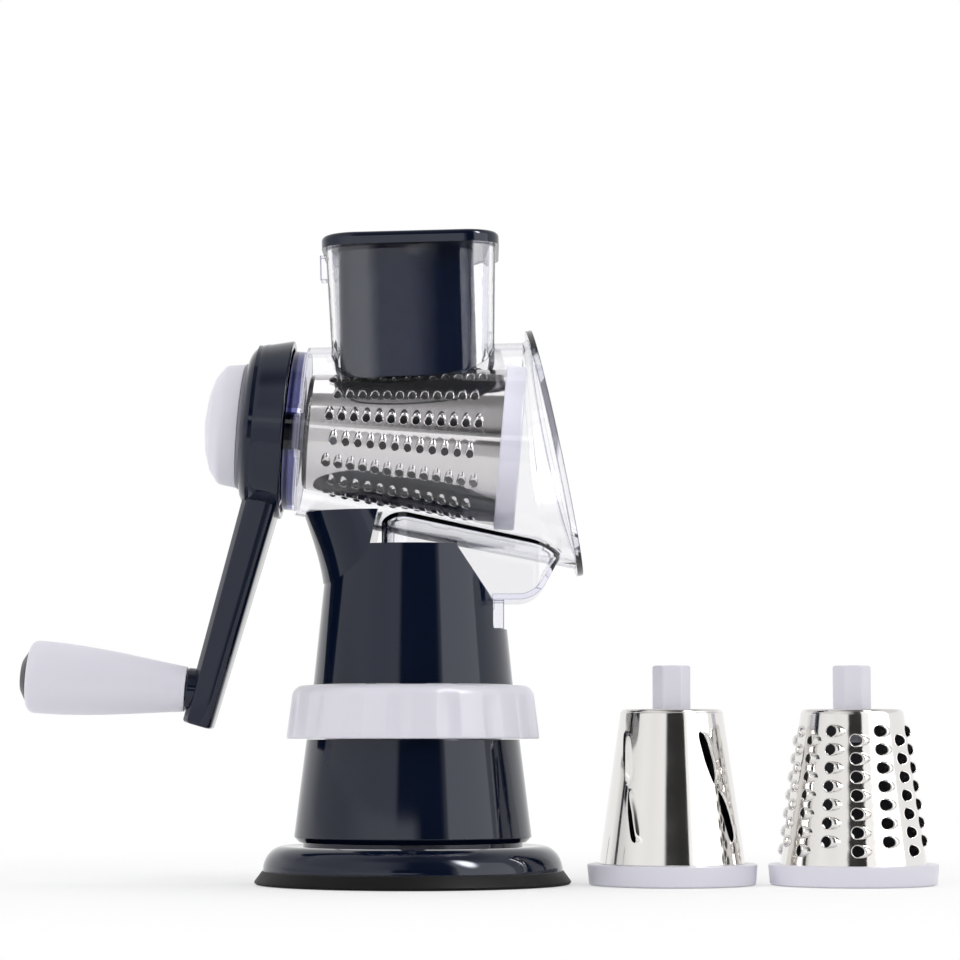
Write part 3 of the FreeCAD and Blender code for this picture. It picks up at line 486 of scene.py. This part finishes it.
ring_side = [(ring_bottom_radius, ring_base, 1.0)]
for step in range(1, 7):
    share = step / 6
    ring_side.append((ring_bottom_radius + (ring_top_radius - ring_bottom_radius) * share,
                      ring_base + (ring_top - ring_round - ring_base) * share))
for step in range(1, 9):
    angle = math.radians(90 * step / 8)
    ring_side.append((ring_top_radius - ring_round + ring_round * math.cos(angle),
                      ring_top - ring_round + ring_round * math.sin(angle)))
lathe("scalloped_ring", ring_side + [
    (ring_bore_radius, ring_top), (ring_bore_radius, ring_base), (ring_web_radius, ring_base),
    (ring_web_radius, ring_top - ring_roof), (ring_hollow_radii[0], ring_top - ring_roof),
    (ring_hollow_radii[1], ring_base),
], WORLD, "suction_ring", white, ("twist_ring",), segments=640, radius_at=fluted)


# ---- pierced drums, each standing on its ring in a frame of its own ------------------------
class Drum:
    """Sizes of a drum's sheet and hub in millimetres, and where its rows of holes start."""

    def __init__(self, length, large_radius, small_radius, hub_length, rows, start_deg):
        self.length = length
        self.large_radius = large_radius
        self.small_radius = small_radius
        self.hub_length = hub_length
        self.rows = rows
        self.start_deg = start_deg
        self.low = drum_ring_height
        self.high = drum_ring_height + length

    def radius_at(self, z):
        narrowing = (z - self.low) * (self.large_radius - self.small_radius) / self.length
        return self.large_radius - narrowing

    def point(self, angle, z, lift):
        """Point in metres at an angle in radians, a height, and a lift out of the sheet."""
        reach = self.radius_at(z) + lift
        return Vector((reach * math.cos(angle), reach * math.sin(angle), z)) * MM


class Tooth:
    """Round hole with its edge raised on the side of rising angles, where a hood falls behind it."""

    def __init__(self, half_along, half_z, back, lift):
        self.half_along = half_along
        self.half_z = half_z
        self.back = back
        self.lift = lift

    def offset(self, theta, level):
        """Offsets (along, up, out) at an angle round the tooth; level 0 is its base, 1 its edge."""
        cosine, sine = math.cos(theta), math.sin(theta)
        raised = (cosine + math.sqrt(cosine * cosine + 0.03)) / 2
        base_along = cosine * (self.half_along + 0.3) + self.back * raised
        base_up = sine * (self.half_z + 0.3)
        if level < 0:
            return base_along * (1 - level), base_up * (1 - level), 0.0
        out = self.lift * raised ** 0.8 * (1 - (1 - level) ** 2)
        return (base_along + (self.half_along * cosine - base_along) * level,
                base_up + (self.half_z * sine - base_up) * level, out)


def cell_rim(turn_low, turn_high, z_low, z_high, around, up):
    """Points round a cell's edge from its middle at the high turn, as (turn, z), and count."""
    points = []
    half_up = up // 2
    for step in range(half_up):
        points.append((turn_high, (z_low + z_high) / 2 + (z_high - z_low) * step / up))
    for step in range(around):
        points.append((turn_high + (turn_low - turn_high) * step / around, z_high))
    for step in range(up):
        points.append((turn_low, z_high + (z_low - z_high) * step / up))
    for step in range(around):
        points.append((turn_low + (turn_high - turn_low) * step / around, z_low))
    for step in range(half_up):
        points.append((turn_high, z_low + (z_high - z_low) * step / up))
    return points


def pierced_cell(bm, drum, tooth, centre, rim):
    """Sheet of one cell, from its rim to the open edge of its tooth."""
    turn_middle, z_middle = centre
    rings = [[bm.verts.new(drum.point(turn, z, 0.0)) for turn, z in rim]]
    radius = drum.radius_at(z_middle)
    thetas = []
    for turn, z in rim:
        along = (turn - turn_middle) * radius
        thetas.append(math.atan2((z - z_middle) / tooth.half_z, along / tooth.half_along))
    for level in (-0.04, 0.0, 0.06, 0.18, 0.38, 0.65, 1.0):
        ring = []
        for theta in thetas:
            along, up, out = tooth.offset(theta, level)
            ring.append(bm.verts.new(drum.point(turn_middle + along / radius, z_middle + up, out)))
        rings.append(ring)
    count = len(rim)
    for outer, inner in zip(rings, rings[1:]):
        for index in range(count):
            after = (index + 1) % count
            bm.faces.new((outer[index], outer[after], inner[after], inner[index]))


def plain_cell(bm, drum, turn_low, turn_high, z_low, z_high, around):
    for step in range(around):
        left = turn_low + (turn_high - turn_low) * step / around
        right = turn_low + (turn_high - turn_low) * (step + 1) / around
        bm.faces.new([bm.verts.new(drum.point(*spot, 0.0)) for spot in
                      ((left, z_low), (right, z_low), (right, z_high), (left, z_high))])


def drum_ends(bm, drum, segments, start):
    """Add the sheet's skirt in the ring and its roof; return the height where the roof starts."""
    shoulder = drum_shoulder
    skirt = [(drum.radius_at(drum.low - drum_seat), drum.low - drum_seat),
             (drum.large_radius, drum.low)]
    roof = [(drum.radius_at(drum.high - shoulder), drum.high - shoulder)]
    for step in range(1, 6):
        angle = math.radians(90 * step / 5)
        roof.append((drum.small_radius - shoulder + shoulder * math.cos(angle),
                     drum.high - shoulder + shoulder * math.sin(angle)))
    roof.append((hub_corner_radius - 1.0, drum.high))
    for line in (skirt, roof):
        rings = []
        for radius, z in line:
            ring = []
            for index in range(segments):
                angle = start + 2 * math.pi * index / segments
                spot = Vector((radius * math.cos(angle), radius * math.sin(angle), z))
                ring.append(bm.verts.new(spot * MM))
            rings.append(ring)
        for lower, upper in zip(rings, rings[1:]):
            for index in range(segments):
                after = (index + 1) % segments
                bm.faces.new((lower[index], lower[after], upper[after], upper[index]))
    return drum.high - shoulder


def toothed_sheet(drum, tooth, pitch, margin, around, up, lead):
    """Sheet with teeth in staggered rows; lead is the share of a row's width before its holes."""
    bm = bmesh.new()
    segments = drum.rows * around
    wide = 2 * math.pi / drum.rows
    start = math.radians(drum.start_deg) - wide * lead
    top = drum_ends(bm, drum, segments, start)
    for row in range(drum.rows):
        turn_low = start + row * wide
        turn_high = turn_low + wide
        z = drum.low + margin + (pitch / 2 if row % 2 else 0.0)
        first = z - pitch / 2
        while z < drum.high - margin:
            rim = cell_rim(turn_low, turn_high, z - pitch / 2, z + pitch / 2, around, up)
            pierced_cell(bm, drum, tooth, (turn_low + wide * lead, z), rim)
            z += pitch
        last = z - pitch / 2
        for end, toward, sign in ((first, drum.low, -1), (last, top, 1)):
            level = end
            while (toward - level) * sign > 1e-6:
                following = level + sign * pitch / up
                if (toward - following) * sign < pitch / up * 0.5:
                    following = toward
                plain_cell(bm, drum, turn_low, turn_high, min(level, following),
                           max(level, following), around)
                level = following
    bmesh.ops.remove_doubles(bm, verts=bm.verts, dist=2e-6)
    return bm


def slotted_sheet(drum, spacing, length, width, slant_deg, stagger_deg, lift):
    """Sheet with rows of two slanted slots, one edge of each raised as a blade."""
    bm = bmesh.new()
    wide = 2 * math.pi / drum.rows
    start = math.radians(drum.start_deg)
    stagger = math.radians(stagger_deg)
    around = 20  # faces between a slot's edge and the limit of its row
    middle = (drum.low + drum.high) / 2
    slant = math.tan(math.radians(slant_deg)) * 2 / (drum.large_radius + drum.small_radius)
    steps = 140
    top = drum.high - drum_shoulder
    lines = []
    for step in range(steps + 1):
        z = drum.low + (top - drum.low) * step / steps
        radius = drum.radius_at(z)
        half, rise = 0.0, 0.0  # half of the slot's width and the blade's height at this level
        for side in (-1, 1):
            outward = side * (z - middle - side * spacing / 2) / (length / 2)
            if abs(outward) < 1:
                taper = min(1.0, (outward + 1) / 0.9) ** 0.6
                half = width / 2 * taper * (1 - outward ** 8) ** 0.5
                rise = lift * (1 - outward ** 4)
        beside = max(-1.0, min(1.0, (z - middle) / 1.5))
        line = []
        for row in range(drum.rows):
            turn = start + row * wide - slant * (z - middle) - stagger * beside
            near, far = half / radius, wide / 2
            offsets = []  # from the slot's edge, where they are closest, to the row's limit
            for index in range(around + 1):
                share = (index / around) ** 2.2
                offsets.append(near + (far - near) * share)
            for index in range(around, -1, -1):
                sink = -0.25 * rise if index == 0 else 0.0
                line.append(bm.verts.new(drum.point(turn - offsets[index], z, sink)))
            for index in range(around + 1):
                gap = (offsets[index] - near) * radius
                out = rise * math.exp(-(gap / 1.6) ** 2)
                line.append(bm.verts.new(drum.point(turn + offsets[index], z, out)))
        lines.append(line)
    per_row = 2 * (around + 1)
    for lower, upper in zip(lines, lines[1:]):
        for index in range(len(lower)):
            if index % per_row == around:
                continue
            after = (index + 1) % len(lower)
            bm.faces.new((lower[index], lower[after], upper[after], upper[index]))
    drum_ends(bm, drum, 240, 0.0)
    bmesh.ops.remove_doubles(bm, verts=bm.verts, dist=2e-6)
    slivers = [face for face in bm.faces if face.calc_area() < 1e-13]
    bmesh.ops.delete(bm, geom=slivers, context="FACES")
    return bm


def add_sheet(name, bm, placing, body, node, finish):
    piece = finish_mesh(name, bm, placing, body, finish, (node,), sharp_deg=40.0)
    shell = piece.modifiers.new("sheet", "SOLIDIFY")
    shell.thickness = thin_sheet * MM
    shell.offset = -1.0
    # the inner side of the sheet takes the dark steel of painted shade
    piece.data.materials.append(shaded_steel_inside)
    shell.material_offset = 1
    return piece


def add_ring(name, drum, placing, body, node):
    seat = drum.radius_at(drum.low - drum_seat)
    inner = seat - drum_sheet - drum_ring_web
    return lathe(name, [
        (inner, 0, 0.6), (drum_ring_radius - drum_ring_draft, 0, 1.3),
        (drum_ring_radius, drum_ring_height, 0.7), (drum.large_radius, drum_ring_height),
        (seat, drum_ring_height - drum_seat), (seat - drum_sheet, drum_ring_height - drum_seat),
        (seat - drum_sheet, drum_ring_height), (inner, drum_ring_height, 0.5),
    ], placing, body, white, (node,))


def six_sided(radius, height, angle):
    """Hexagon with broken corners for the hub's post; its flange and bore stay round."""
    if radius > hub_circle_radius + 0.01 or radius < 4.5:
        return radius
    flat = hub_corner_radius * math.cos(math.radians(30))
    offset = (math.degrees(angle) % 60.0) - 30.0
    return min(radius, flat / math.cos(math.radians(offset)))


def add_hub(name, drum, placing, body, node):
    roof = drum.high - drum_sheet
    under = roof - hub_flange_thickness
    low = roof - hub_sleeve_depth
    tip = drum.high + drum.hub_length
    return lathe(name, [
        (hub_bore_radius, low), (hub_sleeve_radius, low, 0.5), (hub_sleeve_radius, under, 0.5),
        (hub_flange_radius, under, 0.6), (hub_flange_radius, roof, 0.6), (hub_circle_radius, roof),
        (hub_circle_radius, roof + 3), (hub_circle_radius, tip - 0.6, 0.3),
        (hub_circle_radius - 0.7, tip, 0.3), (hub_bore_radius, tip, 0.7),
    ], placing, body, white, (node,), segments=240, radius_at=six_sided)


fine = Drum(length=88.2, large_radius=36.0, small_radius=26.0, hub_length=14.6, rows=16,
            start_deg=11.2)
slicer = Drum(length=69.0, large_radius=32.7, small_radius=22.8, hub_length=19.5, rows=4,
              start_deg=41.3)
coarse = Drum(length=69.0, large_radius=32.7, small_radius=22.8, hub_length=19.5, rows=14,
              start_deg=9.9)
fine_tooth = Tooth(half_along=1.85, half_z=1.8, back=2.9, lift=1.1)
coarse_tooth = Tooth(half_along=2.65, half_z=2.65, back=3.5, lift=2.0)
fine_sheet = toothed_sheet(fine, fine_tooth, pitch=5.57, margin=10.5, around=12, up=6, lead=0.36)
slicer_sheet = slotted_sheet(slicer, spacing=25.4, length=23.4, width=3.4, slant_deg=12.8,
                             stagger_deg=1.6, lift=1.4)
coarse_sheet = toothed_sheet(coarse, coarse_tooth, pitch=8.1, margin=6.5, around=14, up=8, lead=0.32)
for name, drum, sheet, placing, finish in (
        ("fine", fine, fine_sheet, FITTED, shaded_fine_steel),
        ("slicer", slicer, slicer_sheet, standing_frame(slicer_x), steel),
        ("coarse", coarse, coarse_sheet, standing_frame(coarse_x), steel)):
    body = name + "_drum"
    add_sheet(name + "_sheet", sheet, placing, body, name + "_drum_shell", finish)
    add_ring(name + "_ring", drum, placing, body, name + "_drum_ring")
    add_hub(name + "_hub", drum, placing, body, name + "_drum_hub")


# ---- lock knob and grip --------------------------------------------------------------------
bezel_face = head_outer - bezel_thickness
knob_face = bezel_face - knob_gap
crown = knob_face - knob_height
lathe("knob_dome", [
    (0, knob_face), (knob_radius, knob_face, 0.5), (knob_radius - 1.2, knob_face - knob_side, 3.5),
    (knob_radius - 6.8, crown + 4.3, 4.0), (knob_radius / 2, crown + 1.95, 12.0), (0.01, crown),
], AXIS, "lock_knob", white, ("lock_knob",))
lathe("grey_bezel", [
    (stem_bore_radius, bezel_face), (bezel_radius, bezel_face, 0.5), (bezel_radius, head_outer),
    (stem_bore_radius, head_outer),
], AXIS, "crank", grey, ("knob_bezel",))

grip_end = grip_start - grip_length
grip_side = [(10.1, grip_start, 0.5)]
for step in range(1, 13):
    share = step / 12
    swell = math.sin(math.pi / 2 * share) ** 1.15
    grip_side.append((grip_neck_radius + (grip_radius - grip_neck_radius) * swell,
                      grip_start - (grip_length - grip_end_run) * share))
for step in range(1, 7):
    angle = math.radians(90 * step / 6)
    grip_side.append((grip_radius - grip_end_round + grip_end_round * math.cos(angle),
                      grip_end + grip_end_run - grip_end_round * math.sin(angle)))
lathe("grip_moulding", grip_side + [
    (cap_seat_radius, grip_end + 0.4, 0.4), (cap_seat_radius, grip_end + cap_seat_depth),
    (grip_bore_radius, grip_end + cap_seat_depth), (grip_bore_radius, grip_start),
], GRIP, "grip", white, ("grip_sleeve",))
lathe("grip_plug", [
    (0, grip_end + 2.9), (11.8, grip_end + 2.9), (11.8, grip_end + 0.2, 0.4),
    (7.0, grip_end - 2.6, 4.0), (0.01, grip_end - 3.4),
], GRIP, "grip", dark, ("grip_end_cap",))


# ---- crank ---------------------------------------------------------------------------------
def loft(name, sections, placing, body, material, stands_for=()):
    """Closed skin over sections, each a loop of points in metres; the ends are closed flat."""
    bm = bmesh.new()
    loops = [[bm.verts.new(point) for point in section] for section in sections]
    for lower, upper in zip(loops, loops[1:]):
        for index in range(len(lower)):
            after = (index + 1) % len(lower)
            bm.faces.new((lower[index], lower[after], upper[after], upper[index]))
    bm.faces.new(loops[0])
    bm.faces.new(loops[-1])
    return finish_mesh(name, bm, placing, body, material, stands_for)


def arm_loop(share, shrink):
    """Section of the arm at a share of its length, bevelled on its outer side."""
    thickness = arm_top_thickness + (arm_foot_thickness - arm_top_thickness) * share - 2 * shrink
    width = arm_top_width + (arm_foot_width - arm_top_width) * share - 2 * shrink
    down = arm_top_down + (arm_foot_down - arm_top_down) * share
    distance = arm_top_distance - arm_splay * share
    outer, half = thickness / 2, width / 2
    front = half - arm_face_slope
    edge = front - arm_bevel_depth
    corners = rounded_profile([
        (-outer, -half, 4.5), (outer - arm_bevel_width, -front, 1.0), (outer, -edge, 1.0),
        (outer, edge, 1.0), (outer - arm_bevel_width, front, 1.0), (-outer, half, 4.5),
    ], 5)
    lean = math.atan2(arm_foot_down - arm_top_down, -arm_splay)
    turn = Matrix.Rotation(lean, 4, "Y")
    place = Matrix.Translation(Vector((down, 0, distance)) * MM) @ turn
    return [place @ (Vector((x, y, 0)) * MM) for x, y in corners]


arm_length = math.hypot(arm_foot_down - arm_top_down, arm_splay)
arm_loops = [arm_loop(step / 8, 0.0) for step in range(8)]
for step in range(7):
    angle = math.radians(90 * step / 6)
    short = arm_end_round - arm_end_round * math.sin(angle)
    shrink = arm_end_round - arm_end_round * math.cos(angle)
    arm_loops.append(arm_loop(1 - short / arm_length, shrink))
head_side = head_radius - head_draft
head_profile = [(stem_bore_radius, head_outer), (head_side - head_round, head_outer)]
for step in range(1, 10):
    angle = math.radians(90 * step / 9)
    head_profile.append((head_side - head_round + head_round * math.sin(angle),
                         head_outer + head_round - head_round * math.cos(angle)))
head_profile += [
    (head_radius, head_inner, 0.8), (head_radius - head_wall, head_inner, 0.5),
    (head_radius - head_wall, head_outer + head_face), (socket_wall_radius, head_outer + head_face),
    (socket_wall_radius, head_inner, 0.4), (socket_radius, head_inner, 0.3),
    (socket_radius, head_inner - socket_depth), (stem_bore_radius, head_inner - socket_depth),
]
loft("crank_arm_bar", arm_loops, AXIS, "crank", navy)
lathe("crank_head_cover", head_profile, AXIS, "crank", navy, ("crank_arm",), segments=240)
boss_start = arm_boss_end + arm_boss_length
lathe("crank_boss", [
    (axle_seat_radius, arm_boss_end), (arm_boss_radius, arm_boss_end, 0.6),
    (arm_boss_radius, boss_start), (axle_seat_radius, boss_start),
], GRIP, "crank", navy)


# ---- camera --------------------------------------------------------------------------------
picture_width = 960
focal_pixels = 3200.0
camera_place = (30.2, -1450.0, 64.4)
camera_pitch_deg = 4.65
camera_data = bpy.data.cameras.new("camera")
camera_data.sensor_width = 36.0
camera_data.lens = focal_pixels / picture_width * camera_data.sensor_width
camera = bpy.data.objects.new("camera", camera_data)
camera.location = Vector(camera_place) * MM
camera.rotation_euler = (math.radians(90 + camera_pitch_deg), 0, 0)
scene.collection.objects.link(camera)
scene.camera = camera


# ---- the base isn't mirrored in the spare drums' steel, as in the photo --------------------
for name in ("rubber_pad", "foot_dome", "lower_shell", "scalloped_ring"):
    bpy.data.objects[name].visible_glossy = False


# ---- floor, world and lamps ----------------------------------------------------------------
def floor_shader():
    """White floor that keeps the object's shadow and turns plain white away from it."""
    material = bpy.data.materials.new("studio_floor")
    material.use_nodes = True
    material["slot"] = "floor"
    tree = material.node_tree
    bsdf = tree.nodes["Principled BSDF"]
    bsdf.inputs["Base Color"].default_value = (0.96, 0.96, 0.96, 1)
    bsdf.inputs["Roughness"].default_value = 0.8
    bsdf.inputs["Specular IOR Level"].default_value = 0.0
    glow = tree.nodes.new("ShaderNodeEmission")
    glow.inputs["Strength"].default_value = 1.0
    rays = tree.nodes.new("ShaderNodeLightPath")
    place = tree.nodes.new("ShaderNodeNewGeometry")
    span = tree.nodes.new("ShaderNodeVectorMath")
    span.operation = "LENGTH"
    share = tree.nodes.new("ShaderNodeMapRange")
    share.inputs["From Min"].default_value = 0.12
    share.inputs["From Max"].default_value = 0.45
    share.inputs["To Min"].default_value = 0.45
    share.inputs["To Max"].default_value = 1.0
    seen = tree.nodes.new("ShaderNodeMath")
    seen.operation = "MULTIPLY"
    mix = tree.nodes.new("ShaderNodeMixShader")
    tree.links.new(place.outputs["Position"], span.inputs[0])
    tree.links.new(span.outputs["Value"], share.inputs["Value"])
    tree.links.new(rays.outputs["Is Camera Ray"], seen.inputs[0])
    tree.links.new(share.outputs["Result"], seen.inputs[1])
    tree.links.new(seen.outputs["Value"], mix.inputs["Fac"])
    tree.links.new(bsdf.outputs["BSDF"], mix.inputs[1])
    tree.links.new(glow.outputs["Emission"], mix.inputs[2])
    tree.links.new(mix.outputs["Shader"], tree.nodes["Material Output"].inputs["Surface"])
    return material


floor_bm = bmesh.new()
bmesh.ops.create_circle(floor_bm, cap_ends=True, segments=96, radius=0.6)
floor_mesh = bpy.data.meshes.new("floor")
floor_bm.to_mesh(floor_mesh)
floor_bm.free()
floor = bpy.data.objects.new("floor", floor_mesh)
floor.location = (0.03, -0.03, -0.0002)
floor_mesh.materials.append(floor_shader())
scene.collection.objects.link(floor)


def studio_world():
    """White to the camera; to reflections bright panels, a dark gap in front and a dim ceiling."""
    world = bpy.data.worlds.new("studio")
    scene.world = world
    world.use_nodes = True
    tree = world.node_tree
    background = tree.nodes["Background"]
    place = tree.nodes.new("ShaderNodeTexCoord")
    split = tree.nodes.new("ShaderNodeSeparateXYZ")
    tree.links.new(place.outputs["Generated"], split.inputs[0])

    def math_node(operation, first, second):
        node = tree.nodes.new("ShaderNodeMath")
        node.operation = operation
        for index, value in enumerate((first, second)):
            if isinstance(value, float):
                node.inputs[index].default_value = value
            else:
                tree.links.new(value, node.inputs[index])
        return node.outputs["Value"]

    def ramp(value, stops):
        """Grey levels at angles in degrees: 0 is the front, and they rise to the right."""
        node = tree.nodes.new("ShaderNodeValToRGB")
        elements = node.color_ramp.elements
        for index, (degrees, level) in enumerate(stops):
            element = elements[index] if index < 2 else elements.new((degrees + 180) / 360)
            element.position = (degrees + 180) / 360
            element.color = (level, level, level, 1)
        tree.links.new(value, node.inputs["Fac"])
        return node.outputs["Color"]

    def step_up(low_deg, high_deg):
        """0 below one elevation and 1 above the other."""
        node = tree.nodes.new("ShaderNodeMapRange")
        node.interpolation_type = "SMOOTHSTEP"
        node.inputs["From Min"].default_value = math.sin(math.radians(low_deg))
        node.inputs["From Max"].default_value = math.sin(math.radians(high_deg))
        tree.links.new(split.outputs["Z"], node.inputs["Value"])
        return node.outputs["Result"]

    def blend(share, first, second):
        node = tree.nodes.new("ShaderNodeMix")
        node.data_type = "RGBA"
        tree.links.new(share, node.inputs["Factor"])
        for name, value in (("A", first), ("B", second)):
            if isinstance(value, tuple):
                node.inputs[name].default_value = value
            else:
                tree.links.new(value, node.inputs[name])
        return node.outputs["Result"]

    towards = math_node("MULTIPLY", split.outputs["Y"], -1.0)
    turn = math_node("ARCTAN2", split.outputs["X"], towards)
    share = math_node("ADD", math_node("DIVIDE", turn, 2 * math.pi), 0.5)
    around = ramp(share, [(-180, 1.0), (-125, 1.0), (-105, 0.85), (-60, 1.0), (-40, 0.95), (-25, 1.0),
                          (-17, 1.0), (-13, 0.03), (30, 0.03), (36, 1.0), (180, 1.0)])
    window = ramp(share, [(-180, 1.0), (-125, 1.0), (-110, 0.7), (-70, 0.85), (-45, 1.3), (-25, 1.4),
                          (0, 1.4), (10, 0.03), (30, 0.03), (36, 1.0), (180, 1.0)])
    high = ramp(share, [(-180, 0.9), (-125, 0.75), (-60, 0.8), (-40, 0.95), (-28, 0.85), (-18, 0.7),
                        (-8, 0.35), (0, 0.05), (32, 0.06), (38, 0.85), (112, 0.8), (180, 0.9)])
    top = ramp(share, [(-180, 0.7), (-90, 0.75), (-60, 0.6), (-40, 0.35), (-20, 0.25), (20, 0.15),
                       (60, 0.25), (100, 0.45), (180, 0.7)])
    below = ramp(share, [(-180, 1.0), (-125, 1.0), (-95, 0.8), (-17, 0.8), (-10, 0.25), (15, 0.25),
                         (25, 0.8), (95, 0.8), (125, 1.0), (180, 1.0)])
    in_window = math_node("SUBTRACT", step_up(4.6, 5.6), step_up(10.0, 11.0))
    level = blend(in_window, around, window)
    level = blend(step_up(-4.0, 0.0), below, level)
    level = blend(step_up(18.0, 28.0), level, high)
    level = blend(step_up(48.0, 64.0), level, top)
    rays = tree.nodes.new("ShaderNodeLightPath")
    level = blend(rays.outputs["Is Camera Ray"], level, (1, 1, 1, 1))
    tree.links.new(level, background.inputs["Color"])
    background.inputs["Strength"].default_value = 1.0


studio_world()


def area_lamp(name, place, target, size, power):
    data = bpy.data.lights.new(name, "AREA")
    data.shape = "RECTANGLE"
    data.size, data.size_y = size
    data.energy = power
    lamp = bpy.data.objects.new(name, data)
    lamp.location = place
    lamp.rotation_euler = (Vector(target) - Vector(place)).to_track_quat("-Z", "Y").to_euler()
    scene.collection.objects.link(lamp)
    return lamp


def fade_to_edges(lamp, gain):
    """Make a lamp bright in its middle, so that gloss shows no hard rectangle."""
    lamp.data.use_nodes = True
    tree = lamp.data.node_tree
    spot = tree.nodes.new("ShaderNodeNewGeometry")
    centre = tree.nodes.new("ShaderNodeVectorMath")
    centre.operation = "SUBTRACT"
    centre.inputs[1].default_value = (0.5, 0.5, 0.0)
    reach = tree.nodes.new("ShaderNodeVectorMath")
    reach.operation = "LENGTH"
    fade = tree.nodes.new("ShaderNodeMapRange")
    fade.interpolation_type = "SMOOTHERSTEP"
    fade.inputs["From Min"].default_value = 0.5
    fade.inputs["From Max"].default_value = 0.05
    fade.inputs["To Max"].default_value = gain
    tree.links.new(spot.outputs["Parametric"], centre.inputs[0])
    tree.links.new(centre.outputs["Vector"], reach.inputs[0])
    tree.links.new(reach.outputs["Value"], fade.inputs["Value"])
    tree.links.new(fade.outputs["Result"], tree.nodes["Emission"].inputs["Strength"])


middle = (0.05, 0, 0.13)
key = area_lamp("key", (-0.9, -1.1, 1.2), middle, (0.9, 0.9), 5.2)
top = area_lamp("top", (0.1, 0.1, 1.6), middle, (1.2, 1.0), 5.0)
fill = area_lamp("fill", (1.1, -1.0, 0.8), middle, (0.9, 0.9), 4.0)
for lamp in (key, top, fill):
    lamp.visible_glossy = False
softbox = area_lamp("softbox", (0.93, -0.78, 1.12), middle, (0.5, 1.3), 12.0)
fade_to_edges(softbox, 5.0)
card_place = (0.556, -0.28, 0.28)
card_target = (card_place[0] - 0.594, card_place[1] + 0.804, card_place[2])
card = area_lamp("card", card_place, card_target, (0.606, 0.56), 1.17)
for lamp in (softbox, card):
    lamp.visible_diffuse = False

scene.view_settings.view_transform = "Standard"
